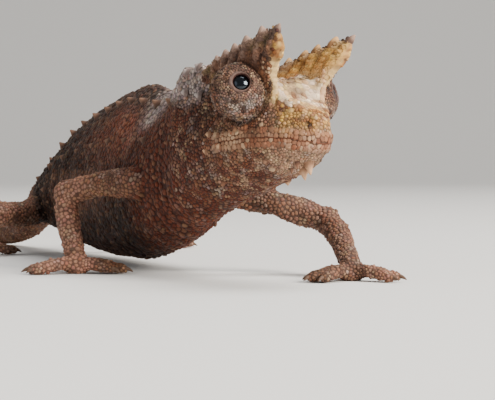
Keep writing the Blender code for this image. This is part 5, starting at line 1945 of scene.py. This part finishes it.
# All claws, in one piece.
def claws():
    pieces = []
    share = np.linspace(0, 1, 8)
    for limb in limbs:
        middle, toes = footPlan(limb)[1:]
        for way, length in toes:
            root = toePath(middle, way, length)[-3]
            place = root[:3] + way * (claw["length"] * share)[:, None]
            fall = (root[2] - claw["drop"]) * share**2
            height = root[2] + claw["arch"] * np.sin(share * math.pi) - fall
            radius = claw["radius"] * (1 - share) ** 0.7 + claw["tip"]
            pieces.append(barStack(np.column_stack([place[:, :2], height, radius]), 10))
    place, quads = joined(pieces)
    tint = plain("claw", len(place))
    dressedPiece("claws", place, [quads], tint, 1.0, hornHide)


claws()

# Stage, light and camera

stage = {
    "floor": (0.80, 0.79, 0.77),
    "cameraPlace": (-37.04, -114.22, 8.2),
    "cameraTurn": -20.0,
    "cameraPitch": -1.5,
    "focal": 1760.0,
    "pictureWidth": 495.0,
    "sensor": 36.0,
    # The floor's profile in metres: its near end, where it bends up, the bend, its far top.
    "floorFrom": -0.9,
    "bendFrom": 0.35,
    "bend": 0.3,
    "floorTop": 1.4,
    "halfWidth": 1.6,
    "aim": (0.0, -0.015, 0.008),
    # Each light: name, metres to the right, away and up from the aim, size, power and colour.
    "lights": (
        ("key", 0.26, -0.22, 0.16, 0.19, 3.1, (1, 0.95, 0.87)),
        ("top", 0.10, 0.05, 0.35, 0.25, 1.2, (1, 0.98, 0.95)),
        ("fill", -0.30, -0.25, 0.12, 0.30, 0.25, (0.9, 0.94, 1)),
    ),
    "sky": (0.86, 0.86, 0.87),
    "skyPower": 0.40,
}


# Camera at the photograph's place, turn and pitch.
def makeCamera():
    data = bpy.data.cameras.new("photoCamera")
    data.sensor_width = stage["sensor"]
    data.lens = stage["focal"] * stage["sensor"] / stage["pictureWidth"]
    data.clip_start = 0.005
    data.clip_end = 10.0
    camera = bpy.data.objects.new("photoCamera", data)
    camera.location = (np.array(stage["cameraPlace"]) + standShift) * mm
    camera.rotation_euler = (
        math.radians(90 + stage["cameraPitch"]), 0, math.radians(stage["cameraTurn"]),
    )
    bpy.context.scene.collection.objects.link(camera)
    bpy.context.scene.camera = camera


# Floor: a sheet that runs level and then bends up behind, drawn by its profile.
def makeFloor():
    turn = np.linspace(0, math.pi / 2, 16)
    start, bend = stage["bendFrom"], stage["bend"]
    curve = np.stack([start + bend * np.sin(turn), bend - bend * np.cos(turn)], 1)
    line = np.concatenate([[(stage["floorFrom"], 0.0)], curve,
                           [(start + bend, stage["floorTop"])]])
    grid = np.empty((len(line), 2, 3))
    grid[..., 0] = np.array((-1, 1)) * stage["halfWidth"]
    grid[..., 1:] = line[:, None]
    i = np.arange(len(line) - 1)[:, None] * 2
    quads = np.concatenate([i, i + 1, i + 3, i + 2], axis=1)
    points = grid.reshape(-1, 3) @ turnAbout("Z", stage["cameraTurn"]).T
    floor = meshObject("floor", points, [quads])
    floor.data.shade_smooth()
    material, tree, shader = newMaterial("paleFloor")
    fill(tree, shader, {"Base Color": (*stage["floor"], 1), "Roughness": 0.85})
    floor.data.materials.append(material)


# A round light that faces its aim.
def makeLight(name, place, aim, size, power, colour):
    data = bpy.data.lights.new(name, "AREA")
    data.shape = "DISK"
    data.size = size
    data.energy = power
    data.color = colour
    light = bpy.data.objects.new(name, data)
    light.location = place
    light.rotation_euler = Vector(aim - place).to_track_quat("-Z", "Y").to_euler()
    bpy.context.scene.collection.objects.link(light)


# Key, top and fill lights, and a pale sky.
def makeLights():
    # Right of the camera, away from it, and up.
    axes = np.array(((0.93969, -0.34202, 0.0), (0.34202, 0.93969, 0.0), (0.0, 0.0, 1.0)))
    aim = np.array(stage["aim"])
    for name, right, away, up, size, power, colour in stage["lights"]:
        place = aim + axes[0] * right + axes[1] * away + axes[2] * up
        makeLight(name, place, aim, size, power, colour)
    world = bpy.context.scene.world or bpy.data.worlds.new("world")
    bpy.context.scene.world = world
    world.use_nodes = True
    sky = world.node_tree.nodes["Background"].inputs
    fill(world.node_tree, sky, {"Color": (*stage["sky"], 1), "Strength": stage["skyPower"]})


makeCamera()
makeFloor()
makeLights()
